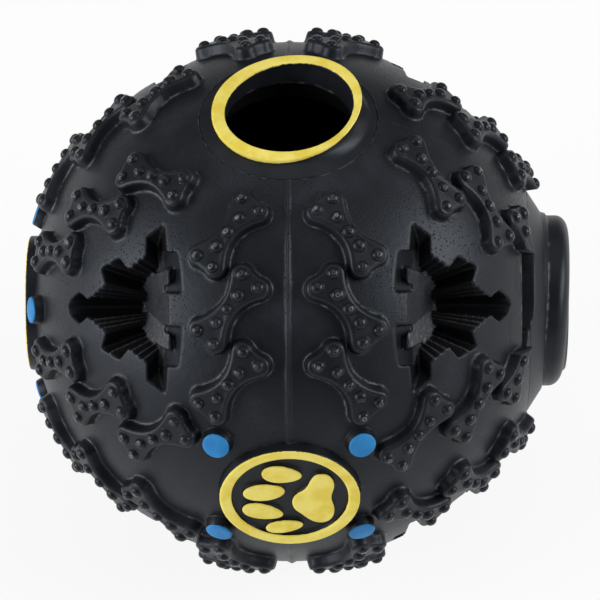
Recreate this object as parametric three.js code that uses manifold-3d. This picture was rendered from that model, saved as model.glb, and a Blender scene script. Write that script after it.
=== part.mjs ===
// Hollow moulded treat ball with a sliding reed sound unit. Millimetres, +Z up.
// The ball stands on its base badge, with the treat mouth up, the front badge towards -Y
// and the sound port towards +X. The origin is the middle of the part's box, at the face that
// it stands on.
import * as THREE from "three";
import { mergeVertices } from "three/addons/utils/BufferGeometryUtils.js";
import Module from "manifold-3d";

const wasm = await Module();
wasm.setup();

// Shell: a hollow sphere in two halves, bonded in the plane x = 0
const BALL_RADIUS = 56;
const SHELL_WALL = 3;
const BALL_SEGMENTS = 32;
const HOLLOW_SEGMENTS = 24;
const ROUND_SEGMENTS = 20;
const HOLE_SEGMENTS = 28;
const SMALL_SEGMENTS = 8;
const FIT_GAP = 0.3;
const LIP_GAP = 0.9;
const PROUD = 5;

// Bone treads: two lobes at each end, three treads along each side of an octant
const BONE_HEIGHT = 2.6;
const BONE_HALF_LENGTH = 6.9;
const LOBE_OFFSET = 2.2;
const LOBE_RADIUS = 2.6;
const WAIST_HALF_WIDTH = 2.1;
const BONE_DRAFT = 0.8;
const BONE_ROOT = 1.2;
const BONE_LATERAL = 12;
const BONE_TURN = 40;
const BONE_START = 29.7;
const MOUTH_BONE_START = 31;
const PORT_BONE_START = 27.6;
const BONE_STEP = 15.6;
const PORT_BONE_STEP = 15.2;
const BONES_PER_SIDE = 3;

// Studs: four round each badge that has them
const STUD_RADIUS = 3.2;
const STUD_TAPER = 0.25;
const STUD_HEIGHT = 2.3;
const STUD_ANGLE = 20;
const STUD_TURN = 41.5;

// Star pockets: one in each octant, with radial walls on two sides and a plain wall that slopes
// in from the bonding plane on the third. Half of the outline, in the octant's tangent plane, as
// distance from the pocket's mirror line and distance towards the bonding plane.
const STAR_HALF_OUTLINE = [
  [0, -20.2],
  [1.7, -19],
  [3.4, -15.6],
  [1.8, -12.4],
  [5.1, -6.8],
  [8.5, -8.6],
  [10.6, -3.7],
  [8.2, -0.9],
  [11.3, 3.6],
  [15.2, 3],
  [18.3, 7],
  [17.6, 12],
];
const STAR_SHIFT = 1.8;
const STAR_TIP = 20.2;
const STAR_TAB = 11.4;
const SEAM_WALL_EDGE = 24;
const SEAM_WALL_LEAN = 15.4;
const POCKET_WALL = 2.6;
const POCKET_REACH = 0.5;
const NOTCH_START = 3.3;
const NOTCH_END = 11.6;
const NOTCH_WIDTH = 2.9;
const NOTCH_DEPTH = 2;
const NOTCH_LENGTH = 10;

// Badges: round inserts with a raised ring and paw print, clipped into the shell
const BADGE_RADIUS = 14.5;
const BADGE_FACE = BALL_RADIUS + 0.4;
const BADGE_RING_WIDTH = 2.5;
const BADGE_RELIEF = 1;
const BADGE_WALL = 2.6;
const LIP_WIDTH = 3;
const LIP_THICKNESS = 1.8;

// Mouth: a flared collar round the treat hole
const MOUTH_RADIUS = 13.1;
const MOUTH_LIP_RADIUS = 15.6;
const MOUTH_LIP_HEIGHT = 1.2;
const MOUTH_FACE = BALL_RADIUS - 0.2;
const MOUTH_BASE_RADIUS = 18.3;
const MOUTH_DEPTH = 7.4;

// Sound port: a skirted collar with a vent on two sides, half in its skirt and half in the shell
const PORT_SKIRT_RADIUS = 24.5;
const PORT_NECK_RADIUS = 18.4;
const PORT_SHOULDER = BALL_RADIUS - 1.4;
const PORT_FACE = BALL_RADIUS + 3;
const PORT_EDGE_ROUND = 1.2;
const VENT_SKIRT_WIDTH = 1.6;
const VENT_SHELL_WIDTH = 3.8;
const VENT_HALF_ANGLE = 27;
const VENT_TURNS = [45, 225];
const PORT_BOSS_DEPTH = 14;
const PORT_LIP_WIDTH = 2.2;

// Sound unit: a weighted reed that slides in a tube and blows as it falls
const TUBE_RADIUS = 12.8;
const TUBE_WALL = 1.3;
const TUBE_LENGTH = 52;
const CAP_THICKNESS = 2;
const CAP_SPIGOT = 3;
const CAP_SPIGOT_WALL = 1.6;
const GRILLE_RIM = 1.7;
const GRILLE_SEAT = 1.4;
const SOUND_HOLE_RADIUS = 1.3;
const SOUND_HOLE_RING = 6;
const SOUND_HOLES = 6;
const BUMPER_THICKNESS = 1.6;
const BUMPER_WIDTH = 2;
const WEIGHT_LENGTH = 18;
const WEIGHT_CLEARANCE = 0.6;
const WEIGHT_BORE = 5;
const SEAL_WIDTH = 2.4;
const SEAL_DEPTH = 1.4;
const SEAL_CLEARANCE = 0.15;
const REED_SEAT_RADIUS = 7;
const REED_SEAT_DEPTH = 5;
const REED_PLATE = 1.2;
const REED_SLOT_LENGTH = 7;
const REED_SLOT_WIDTH = 2.2;
const TONGUE_THICKNESS = 0.4;
const TONGUE_WIDTH = 2.8;
const TONGUE_LENGTH = 9;
const RETAINER_THICKNESS = 1.6;

const degrees = THREE.MathUtils.degToRad;
const UP = new THREE.Vector3(0, 0, 1);
const SHELL_INNER = BALL_RADIUS - SHELL_WALL;

// Depth of a sphere's surface below its pole's tangent plane, as a height along the pole
const sphereHeight = (sphere, radius) => Math.sqrt(sphere * sphere - radius * radius);

// Solids in and out of the boolean library

function toSolid(geometry) {
  const bare = geometry.clone();
  bare.deleteAttribute("normal");
  bare.deleteAttribute("uv");
  const merged = mergeVertices(bare, 1e-4);
  const vertProperties = Float32Array.from(merged.attributes.position.array);
  const triVerts = Uint32Array.from(merged.index.array);
  return new wasm.Manifold(new wasm.Mesh({ numProp: 3, vertProperties, triVerts }));
}

function toGeometry(solid) {
  const mesh = solid.getMesh();
  const geometry = new THREE.BufferGeometry();
  geometry.setAttribute("position", new THREE.BufferAttribute(new Float32Array(mesh.vertProperties), 3));
  geometry.setIndex(new THREE.BufferAttribute(new Uint32Array(mesh.triVerts), 1));
  geometry.computeVertexNormals();
  return geometry;
}

const join = (solids) => solids.reduce((all, solid) => all.add(solid));

// Geometry helpers. Round shapes are turned about +Z, and a place is a direction from the middle.

function turned(profile, segments = ROUND_SEGMENTS) {
  const points = profile.map(([radius, height]) => new THREE.Vector2(radius, height));
  return new THREE.LatheGeometry([...points, points[0].clone()], segments).rotateX(Math.PI / 2);
}

const disc = (radius, low, high, segments) =>
  turned([[0, low], [radius, low], [radius, high], [0, high]], segments);

const ring = (inner, outer, low, high, segments) =>
  turned([[inner, low], [outer, low], [outer, high], [inner, high]], segments);

function prism(shape, low, high, curveSegments = 6) {
  const options = { depth: high - low, bevelEnabled: false, curveSegments };
  return new THREE.ExtrudeGeometry(shape, options).translate(0, 0, low);
}

const towards = (direction) => new THREE.Quaternion().setFromUnitVectors(UP, direction.clone().normalize());

const placed = (geometry, direction) => geometry.applyQuaternion(towards(direction));

// The six poles of the ball

const POLES = {
  top: new THREE.Vector3(0, 0, 1),
  bottom: new THREE.Vector3(0, 0, -1),
  front: new THREE.Vector3(0, -1, 0),
  back: new THREE.Vector3(0, 1, 0),
  right: new THREE.Vector3(1, 0, 0),
  left: new THREE.Vector3(-1, 0, 0),
};

// Bone tread: its outline in the tangent plane, carried onto the ball by direction

function boneOutline(shrink) {
  const radius = LOBE_RADIUS - shrink;
  const lobe = (x, y, from, to) => {
    const steps = 2;
    return Array.from({ length: steps + 1 }, (_, i) => {
      const angle = degrees(from + ((to - from) * i) / steps);
      return [x + radius * Math.cos(angle), y + radius * Math.sin(angle)];
    });
  };
  const waist = WAIST_HALF_WIDTH - shrink;
  return [
    ...lobe(BONE_HALF_LENGTH, -LOBE_OFFSET, -140, 15),
    ...lobe(BONE_HALF_LENGTH, LOBE_OFFSET, -15, 140),
    [0, waist],
    ...lobe(-BONE_HALF_LENGTH, LOBE_OFFSET, 40, 195),
    ...lobe(-BONE_HALF_LENGTH, -LOBE_OFFSET, 165, 320),
    [0, -waist],
  ];
}

// Closes one face of a tread with triangles round three points on its axis
function boneCap(outline, first, facing) {
  const axis = [-BONE_HALF_LENGTH, 0, BONE_HALF_LENGTH];
  const nearest = (point) => axis.reduce((best, x, i) =>
    (Math.abs(point[0] - x) < Math.abs(point[0] - axis[best]) ? i : best), 0);
  const hubs = outline.map(nearest);
  const triangles = [];
  const add = (a, b, c) => triangles.push(...(facing > 0 ? [a, b, c] : [a, c, b]));
  outline.forEach((_, i) => {
    const next = (i + 1) % outline.length;
    const hub = first + outline.length + hubs[i];
    add(first + i, first + next, hub);
    if (hubs[next] !== hubs[i]) {
      add(hub, first + next, first + outline.length + hubs[next]);
    }
  });
  return triangles;
}

function boneTread(centre, along) {
  const normal = centre.clone().normalize();
  const u = along.clone().addScaledVector(normal, -along.dot(normal)).normalize();
  const v = normal.clone().cross(u);
  const carried = ([x, y], radius) => normal.clone().multiplyScalar(BALL_RADIUS)
    .addScaledVector(u, x).addScaledVector(v, y).setLength(radius);
  const hubs = [[-BONE_HALF_LENGTH, 0], [0, 0], [BONE_HALF_LENGTH, 0]];
  const foot = boneOutline(0);
  const crown = boneOutline(BONE_DRAFT);
  const low = [...foot, ...hubs].map((point) => carried(point, BALL_RADIUS - BONE_ROOT));
  const high = [...crown, ...hubs].map((point) => carried(point, BALL_RADIUS + BONE_HEIGHT));
  const count = foot.length;
  const offset = low.length;
  const index = [...boneCap(foot, 0, -1), ...boneCap(crown, offset, 1)];
  for (let i = 0; i < count; i += 1) {
    const next = (i + 1) % count;
    index.push(i, next, offset + next, i, offset + next, offset + i);
  }
  const geometry = new THREE.BufferGeometry().setFromPoints([...low, ...high]);
  geometry.setIndex(index);
  return toSolid(geometry);
}

// A side of an octant runs from pole `start` to pole `end`, and its treads lean away from `start`.
// `inward` is the octant's third pole.
function sideTreads(start, end, inward, first, step) {
  return Array.from({ length: BONES_PER_SIDE }, (_, i) => {
    const angle = degrees(first + step * i);
    const onSide = start.clone().multiplyScalar(Math.cos(angle)).addScaledVector(end, Math.sin(angle));
    const forward = start.clone().multiplyScalar(-Math.sin(angle)).addScaledVector(end, Math.cos(angle));
    const lateral = degrees(BONE_LATERAL);
    const centre = onSide.multiplyScalar(Math.cos(lateral)).addScaledVector(inward, Math.sin(lateral));
    const turn = degrees(BONE_TURN);
    const along = forward.multiplyScalar(Math.cos(turn)).addScaledVector(inward, Math.sin(turn));
    return boneTread(centre, along);
  });
}

function octantTreads(x, y, z) {
  const side = x > 0 ? POLES.right : POLES.left;
  const depth = y > 0 ? POLES.back : POLES.front;
  const height = z > 0 ? POLES.top : POLES.bottom;
  const seam = sideTreads(height, depth, side, z > 0 ? MOUTH_BONE_START : BONE_START, BONE_STEP);
  if (x > 0) {
    return [
      ...seam,
      ...sideTreads(height, side, depth, z > 0 ? MOUTH_BONE_START : PORT_BONE_START, PORT_BONE_STEP),
      ...sideTreads(depth, side, height, PORT_BONE_START, PORT_BONE_STEP),
    ];
  }
  return [
    ...seam,
    ...sideTreads(side, height, depth, BONE_START, BONE_STEP),
    ...sideTreads(side, depth, height, BONE_START, BONE_STEP),
  ];
}

// Studs round a pole, in line with the paw print's two ends

function polesStuds(pole) {
  const top = BALL_RADIUS + STUD_HEIGHT;
  return [STUD_TURN, 180 - STUD_TURN, 180 + STUD_TURN, 360 - STUD_TURN].map((around) => {
    const tilt = degrees(STUD_ANGLE);
    const turn = degrees(around);
    const local = new THREE.Vector3(Math.sin(tilt) * Math.cos(turn), Math.sin(tilt) * Math.sin(turn), Math.cos(tilt));
    const direction = local.applyQuaternion(towards(pole));
    const profile = [
      [0, BALL_RADIUS - SHELL_WALL / 2],
      [STUD_RADIUS, BALL_RADIUS - SHELL_WALL / 2],
      [STUD_RADIUS - STUD_TAPER, top],
      [0, top],
    ];
    return { direction, solid: toSolid(placed(turned(profile, SMALL_SEGMENTS), direction)) };
  });
}

// Star pocket: the outline mirrored about its own line

function starOutline() {
  const mirrored = STAR_HALF_OUTLINE.slice(1).map(([across, along]) => [-across, along]).reverse();
  return [...mirrored, ...STAR_HALF_OUTLINE];
}

// A tapered block with its walls pointing at the ball's middle
function radialBlock(outline, frame, low, high) {
  const shape = new THREE.Shape(outline.map(([x, y]) => new THREE.Vector2(x, y)));
  const geometry = prism(shape, 0, 1);
  const position = geometry.attributes.position;
  const point = new THREE.Vector3();
  for (let i = 0; i < position.count; i += 1) {
    point.fromBufferAttribute(position, i);
    const scale = point.z > 0.5 ? high : low;
    const carried = frame.normal.clone().multiplyScalar(BALL_RADIUS)
      .addScaledVector(frame.u, point.x).addScaledVector(frame.v, point.y).multiplyScalar(scale);
    position.setXYZ(i, carried.x, carried.y, carried.z);
  }
  return toSolid(geometry);
}

// Everything on the pocket's side of its seam wall, with the wall moved back by `depth`
function beyondSeamWall(side, middle, depth) {
  const lean = degrees(SEAM_WALL_LEAN);
  const rim = side.clone().multiplyScalar(SEAM_WALL_EDGE)
    .addScaledVector(middle, sphereHeight(BALL_RADIUS, SEAM_WALL_EDGE));
  const normal = side.clone().multiplyScalar(Math.cos(lean)).addScaledVector(middle, Math.sin(lean));
  const size = 4 * BALL_RADIUS;
  const box = placed(new THREE.BoxGeometry(size, size, size).translate(0, 0, size / 2), normal);
  const start = rim.addScaledVector(normal, -depth);
  return toSolid(box.translate(start.x, start.y, start.z));
}

// Shallow notches in the seam wall's edge, one on each side of the mirror line
function seamNotches(side, middle) {
  const edge = sphereHeight(BALL_RADIUS, SEAM_WALL_EDGE);
  const slope = Math.tan(degrees(SEAM_WALL_LEAN));
  const section = new THREE.Shape([
    [SEAM_WALL_EDGE - NOTCH_WIDTH, edge - NOTCH_DEPTH],
    [SEAM_WALL_EDGE + NOTCH_LENGTH * slope + FIT_GAP, edge - NOTCH_LENGTH],
    [SEAM_WALL_EDGE + NOTCH_LENGTH * slope + FIT_GAP, BALL_RADIUS + PROUD],
    [SEAM_WALL_EDGE - NOTCH_WIDTH, BALL_RADIUS + PROUD],
  ].map(([x, y]) => new THREE.Vector2(x, y)));
  const across = side.clone().cross(middle);
  const turn = new THREE.Matrix4().makeBasis(side, middle, across);
  const notch = (low, high) => toSolid(prism(section, low, high).applyMatrix4(turn));
  return notch(NOTCH_START, NOTCH_END).add(notch(-NOTCH_END, -NOTCH_START));
}

// The pockets beside the mouth are turned away from it
function starPocket(x, y, z) {
  const turn = z > 0 ? degrees(STAR_SHIFT) * -y : 0;
  const normal = new THREE.Vector3(x, y, z).normalize().applyAxisAngle(POLES.right, turn);
  const side = new THREE.Vector3(x, 0, 0);
  const middle = new THREE.Vector3(0, y, z).normalize().applyAxisAngle(POLES.right, turn);
  const toSeam = middle.clone().addScaledVector(normal, -middle.dot(normal)).normalize();
  const frame = { normal, v: toSeam, u: toSeam.clone().cross(normal) };
  const low = 0.5;
  const cut = radialBlock(starOutline(), frame, low, (BALL_RADIUS + PROUD) / BALL_RADIUS)
    .intersect(beyondSeamWall(side, middle, 0))
    .add(seamNotches(side, middle));
  const reach = STAR_TIP + POCKET_WALL;
  const flat = STAR_TAB + POCKET_WALL;
  const blockOutline = [90, 210, 330].flatMap((around) => [-1, 1].map((way) => {
    const angle = degrees(around);
    const across = way * Math.sqrt(reach * reach - flat * flat);
    return [
      flat * Math.cos(angle) - across * Math.sin(angle),
      flat * Math.sin(angle) + across * Math.cos(angle),
    ];
  }));
  const top = (BALL_RADIUS - POCKET_REACH) / BALL_RADIUS;
  const block = radialBlock(blockOutline, frame, low, top)
    .intersect(beyondSeamWall(side, middle, POCKET_WALL));
  return { cut, block };
}

// Sectors of a ring about +Z, one for each vent of the sound port
function ventSectors(inner, outer, low, high) {
  const half = degrees(VENT_HALF_ANGLE);
  return join(VENT_TURNS.map((around) => {
    const middle = degrees(around);
    const shape = new THREE.Shape();
    shape.absarc(0, 0, outer, middle - half, middle + half, false);
    shape.absarc(0, 0, inner, middle + half, middle - half, true);
    return toSolid(placed(prism(shape, low, high, 8), POLES.right));
  }));
}

// The hollow sphere with everything moulded on it, before it is parted

function ballShell() {
  const sphere = (radius, segments) => new THREE.SphereGeometry(radius, segments, segments / 2)
    .rotateZ(Math.PI / 2);
  const skin = toSolid(sphere(BALL_RADIUS, BALL_SEGMENTS));
  const hollow = toSolid(sphere(SHELL_INNER, HOLLOW_SEGMENTS));
  const pockets = [];
  const treads = [];
  for (const x of [-1, 1]) {
    for (const y of [-1, 1]) {
      for (const z of [-1, 1]) {
        pockets.push(starPocket(x, y, z));
        treads.push(...octantTreads(x, y, z));
      }
    }
  }
  const studs = ["left", "front", "back", "bottom"].flatMap((name) => polesStuds(POLES[name]));
  const body = skin.subtract(hollow)
    .add(join(pockets.map(({ block }) => block)))
    .add(join(treads))
    .add(join(studs.map(({ solid }) => solid)));
  const hole = (pole, radius) => {
    const start = sphereHeight(SHELL_INNER, radius) - SHELL_WALL;
    return toSolid(placed(disc(radius + FIT_GAP, start, BALL_RADIUS + PROUD), pole));
  };
  const holes = join([
    hole(POLES.top, MOUTH_BASE_RADIUS),
    hole(POLES.right, PORT_SKIRT_RADIUS),
    ...["left", "front", "back", "bottom"].map((name) => hole(POLES[name], BADGE_RADIUS)),
    shellVents(),
  ]);
  return body.subtract(join(pockets.map(({ cut }) => cut))).subtract(holes);
}

function shellVents() {
  const outer = PORT_SKIRT_RADIUS + VENT_SHELL_WIDTH;
  const low = sphereHeight(SHELL_INNER, outer) - SHELL_WALL;
  return ventSectors(PORT_SKIRT_RADIUS - VENT_SKIRT_WIDTH, outer, low, BALL_RADIUS + PROUD);
}

function halfShell(whole, sign) {
  const size = 2 * (BALL_RADIUS + PROUD);
  const box = new THREE.BoxGeometry(size, size, size).translate((sign * size) / 2, 0, 0);
  return toGeometry(whole.intersect(toSolid(box)));
}

// Badge: a cup with a retaining lip inside the shell, and a raised ring and paw print outside

function pawShapes() {
  const pad = new THREE.Shape();
  pad.moveTo(0.5, -1);
  pad.bezierCurveTo(0.8, 1.6, 2.8, 1.6, 3.6, 3.4);
  pad.bezierCurveTo(4.4, 5.4, 4.6, 7.2, 6.6, 7.2);
  pad.bezierCurveTo(8.6, 7.2, 9.4, 4.6, 9, 2.8);
  pad.bezierCurveTo(8.6, 1, 8.4, 0, 8.6, -1);
  pad.bezierCurveTo(9.4, -3.2, 9.6, -7, 6.8, -7.6);
  pad.bezierCurveTo(4.4, -8, 3, -5.4, 1.6, -4.2);
  pad.bezierCurveTo(0.8, -3.4, 0.4, -2.4, 0.5, -1);
  const toe = (x, y, halfLength, halfWidth, turn) => {
    const shape = new THREE.Shape();
    shape.absellipse(x, y, halfLength, halfWidth, 0, 2 * Math.PI, false, degrees(turn));
    return shape;
  };
  return [
    pad,
    toe(-1.6, 7.1, 4.1, 2.4, -6),
    toe(-5.3, 1.6, 4.3, 2.4, 7),
    toe(-5.6, -4.3, 4.3, 2.2, -14),
    toe(-1.2, -9, 3.9, 1.8, 10),
  ];
}

function badge() {
  const lipTop = sphereHeight(SHELL_INNER, BADGE_RADIUS + LIP_WIDTH) - LIP_GAP;
  const lipLow = lipTop - LIP_THICKNESS;
  const field = BADGE_FACE - BADGE_RELIEF;
  const inner = BADGE_RADIUS - BADGE_WALL;
  const cup = toSolid(turned([
    [0, field - BADGE_WALL],
    [inner, field - BADGE_WALL],
    [inner, lipLow],
    [BADGE_RADIUS + LIP_WIDTH, lipLow],
    [BADGE_RADIUS + LIP_WIDTH, lipTop],
    [BADGE_RADIUS, lipTop],
    [BADGE_RADIUS, BADGE_FACE],
    [BADGE_RADIUS - BADGE_RING_WIDTH, BADGE_FACE],
    [BADGE_RADIUS - BADGE_RING_WIDTH, field],
    [0, field],
  ]));
  const paw = pawShapes().map((shape) => toSolid(prism(shape, field - BADGE_WALL / 2, BADGE_FACE, 3)));
  return toGeometry(cup.add(join(paw)));
}

// Mouth collar: flared outside, straight inside, with a retaining lip under the shell

function mouthCollar() {
  const base = sphereHeight(BALL_RADIUS, MOUTH_BASE_RADIUS);
  const lipTop = sphereHeight(SHELL_INNER, MOUTH_BASE_RADIUS + LIP_WIDTH) - LIP_GAP;
  const low = MOUTH_FACE - MOUTH_DEPTH;
  const flareFoot = MOUTH_FACE - MOUTH_LIP_HEIGHT;
  const flare = [0, 0.35, 0.7, 1].map((t) => [
    MOUTH_BASE_RADIUS + (MOUTH_LIP_RADIUS - MOUTH_BASE_RADIUS) * Math.sin((t * Math.PI) / 2),
    base + (flareFoot - base) * (1 - Math.cos((t * Math.PI) / 2)),
  ]);
  return turned([
    [MOUTH_RADIUS, Math.min(low, lipTop - LIP_THICKNESS)],
    [MOUTH_BASE_RADIUS + LIP_WIDTH, lipTop - LIP_THICKNESS],
    [MOUTH_BASE_RADIUS + LIP_WIDTH, lipTop],
    [MOUTH_BASE_RADIUS, lipTop],
    ...flare,
    [MOUTH_LIP_RADIUS, MOUTH_FACE],
    [MOUTH_RADIUS, MOUTH_FACE],
  ], HOLE_SEGMENTS);
}

// Sound port collar: skirt, neck, flange and the boss that grips the tube

const TUBE_OUTER_END = PORT_FACE - GRILLE_SEAT - CAP_THICKNESS;
const TUBE_INNER_END = TUBE_OUTER_END - TUBE_LENGTH;
const GRILLE_RADIUS = TUBE_RADIUS + GRILLE_RIM;

function portCollar() {
  const skirtEdge = sphereHeight(BALL_RADIUS, PORT_SKIRT_RADIUS);
  const lipRadius = PORT_SKIRT_RADIUS + PORT_LIP_WIDTH;
  const lipTop = sphereHeight(SHELL_INNER, lipRadius) - LIP_GAP;
  const ventInner = PORT_SKIRT_RADIUS - VENT_SKIRT_WIDTH;
  const bossLow = PORT_FACE - PORT_BOSS_DEPTH;
  const bore = TUBE_RADIUS + FIT_GAP;
  const body = toSolid(placed(turned([
    [bore, Math.min(bossLow, lipTop - LIP_THICKNESS)],
    [ventInner, lipTop - LIP_THICKNESS],
    [lipRadius, lipTop - LIP_THICKNESS],
    [lipRadius, lipTop],
    [PORT_SKIRT_RADIUS, lipTop],
    [PORT_SKIRT_RADIUS, skirtEdge],
    [PORT_NECK_RADIUS, PORT_SHOULDER],
    [PORT_NECK_RADIUS, PORT_FACE - PORT_EDGE_ROUND],
    [PORT_NECK_RADIUS - PORT_EDGE_ROUND, PORT_FACE],
    [GRILLE_RADIUS + FIT_GAP, PORT_FACE],
    [GRILLE_RADIUS + FIT_GAP, TUBE_OUTER_END],
    [bore, TUBE_OUTER_END],
  ], HOLE_SEGMENTS), POLES.right));
  return body.subtract(ventSectors(ventInner, lipRadius + PROUD, bossLow - PROUD, PORT_FACE));
}

// Sound unit pieces, along +Z of the port's own frame

const tubeBore = TUBE_RADIUS - TUBE_WALL;
const weightRadius = tubeBore - WEIGHT_CLEARANCE;
const spigotRadius = tubeBore - FIT_GAP;
const spigotBore = spigotRadius - CAP_SPIGOT_WALL;

const sounderTube = () => ring(tubeBore, TUBE_RADIUS, TUBE_INNER_END, TUBE_OUTER_END);

// Holes on a circle, with one in the middle
function soundHoles(low, high) {
  const hole = (x, y) => toSolid(disc(SOUND_HOLE_RADIUS, low, high, 8).translate(x, y, 0));
  const around = Array.from({ length: SOUND_HOLES }, (_, i) => {
    const angle = (2 * Math.PI * i) / SOUND_HOLES;
    return hole(SOUND_HOLE_RING * Math.cos(angle), SOUND_HOLE_RING * Math.sin(angle));
  });
  return join([hole(0, 0), ...around]);
}

function sounderGrille() {
  const high = TUBE_OUTER_END + CAP_THICKNESS;
  const spigotEnd = TUBE_OUTER_END - CAP_SPIGOT;
  const cap = toSolid(turned([
    [0, TUBE_OUTER_END],
    [spigotBore, TUBE_OUTER_END],
    [spigotBore, spigotEnd],
    [spigotRadius, spigotEnd],
    [spigotRadius, TUBE_OUTER_END],
    [GRILLE_RADIUS, TUBE_OUTER_END],
    [GRILLE_RADIUS, high],
    [0, high],
  ]));
  return toGeometry(cap.subtract(soundHoles(TUBE_OUTER_END - 1, high + 1)));
}

function sounderEndCap() {
  const low = TUBE_INNER_END - CAP_THICKNESS;
  const spigotEnd = TUBE_INNER_END + CAP_SPIGOT;
  const cap = toSolid(turned([
    [0, low],
    [TUBE_RADIUS, low],
    [TUBE_RADIUS, TUBE_INNER_END],
    [spigotRadius, TUBE_INNER_END],
    [spigotRadius, spigotEnd],
    [spigotBore, spigotEnd],
    [spigotBore, TUBE_INNER_END],
    [0, TUBE_INNER_END],
  ]));
  return toGeometry(cap.subtract(soundHoles(low - 1, TUBE_INNER_END + 1)));
}

const bumperInner = tubeBore - FIT_GAP - BUMPER_WIDTH;
const innerBumperLow = TUBE_INNER_END + CAP_SPIGOT;
const outerBumperHigh = TUBE_OUTER_END - CAP_SPIGOT;
const bumper = (low) => ring(bumperInner, tubeBore - FIT_GAP, low, low + BUMPER_THICKNESS);

// The weight rests a hair above the inner bumper and slides towards the outer one
const weightLow = innerBumperLow + BUMPER_THICKNESS + FIT_GAP;
const weightHigh = weightLow + WEIGHT_LENGTH;
const sealMiddle = weightLow + WEIGHT_LENGTH / 2;
const seatFloor = weightHigh - REED_SEAT_DEPTH;

const reedWeight = () => turned([
  [WEIGHT_BORE, weightLow],
  [weightRadius, weightLow],
  [weightRadius, sealMiddle - SEAL_WIDTH / 2],
  [weightRadius - SEAL_DEPTH, sealMiddle - SEAL_WIDTH / 2],
  [weightRadius - SEAL_DEPTH, sealMiddle + SEAL_WIDTH / 2],
  [weightRadius, sealMiddle + SEAL_WIDTH / 2],
  [weightRadius, weightHigh],
  [REED_SEAT_RADIUS + FIT_GAP, weightHigh],
  [REED_SEAT_RADIUS + FIT_GAP, seatFloor],
  [WEIGHT_BORE, seatFloor],
]);

const reedSeal = () => ring(
  weightRadius - SEAL_DEPTH + FIT_GAP / 2,
  tubeBore - SEAL_CLEARANCE,
  sealMiddle - SEAL_WIDTH / 2 + FIT_GAP / 2,
  sealMiddle + SEAL_WIDTH / 2 - FIT_GAP / 2,
);

function reedPlate() {
  const plate = toSolid(disc(REED_SEAT_RADIUS, seatFloor, seatFloor + REED_PLATE));
  const slot = new THREE.BoxGeometry(REED_SLOT_LENGTH, REED_SLOT_WIDTH, 4 * REED_PLATE);
  return toGeometry(plate.subtract(toSolid(slot.translate(0, 0, seatFloor))));
}

function reedTongue() {
  const low = seatFloor + REED_PLATE;
  return new THREE.BoxGeometry(TONGUE_LENGTH, TONGUE_WIDTH, TONGUE_THICKNESS)
    .translate(0, 0, low + TONGUE_THICKNESS / 2);
}

const reedRetainer = () => {
  const low = seatFloor + REED_PLATE + TONGUE_THICKNESS;
  return ring(WEIGHT_BORE - BUMPER_WIDTH / 2, REED_SEAT_RADIUS, low, low + RETAINER_THICKNESS);
};

// Materials

const finish = (color, roughness, metalness = 0) =>
  new THREE.MeshStandardMaterial({ color, roughness, metalness });
const blackRubber = finish(0x2e3036, 0.5);
const insertRubber = finish(0x26282d, 0.55);
const tubePlastic = finish(0xd8d8d2, 0.45);
const weightMetal = finish(0x8d9096, 0.4, 0.9);
const softFoam = finish(0x4a4a4a, 0.9);
const reedPlastic = finish(0xe6e0cf, 0.4);
const grillePlastic = finish(0x30323a, 0.45);

// Assembly

const ball = new THREE.Group();
ball.position.set((BADGE_FACE - PORT_FACE) / 2, 0, BADGE_FACE);

function addPiece(parent, name, geometry, material) {
  const mesh = new THREE.Mesh(geometry, material);
  mesh.name = name;
  parent.add(mesh);
  return mesh;
}

const whole = ballShell();
addPiece(ball, "shell_left", halfShell(whole, -1), blackRubber);
addPiece(ball, "shell_right", halfShell(whole, 1), blackRubber);

for (const name of ["front", "left", "back", "base"]) {
  const pole = POLES[name === "base" ? "bottom" : name];
  addPiece(ball, `badge_${name}`, badge(), insertRubber).quaternion.copy(towards(pole));
}

addPiece(ball, "mouth_collar", mouthCollar(), insertRubber);

addPiece(ball, "port_collar", toGeometry(portCollar()), insertRubber);

const port = new THREE.Group();
port.quaternion.copy(towards(POLES.right));
ball.add(port);
addPiece(port, "sounder_tube", sounderTube(), tubePlastic);
addPiece(port, "sounder_grille", sounderGrille(), grillePlastic);
addPiece(port, "sounder_end_cap", sounderEndCap(), tubePlastic);
addPiece(port, "outer_bumper", bumper(outerBumperHigh - BUMPER_THICKNESS), softFoam);
addPiece(port, "inner_bumper", bumper(innerBumperLow), softFoam);
addPiece(port, "reed_weight", reedWeight(), weightMetal);
addPiece(port, "reed_seal", reedSeal(), softFoam);
addPiece(port, "reed_plate", reedPlate(), reedPlastic);
addPiece(port, "reed_tongue", reedTongue(), reedPlastic);
addPiece(port, "reed_retainer", reedRetainer(), reedPlastic);

const petBall = new THREE.Group();
petBall.add(ball);

export default petBall;
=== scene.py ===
"""Looks of the hollow treat ball: moulded shell halves, painted inserts, studio and camera."""
import math
from collections import namedtuple

import bmesh
import bpy
import numpy as np
from mathutils import Matrix, Vector


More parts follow.
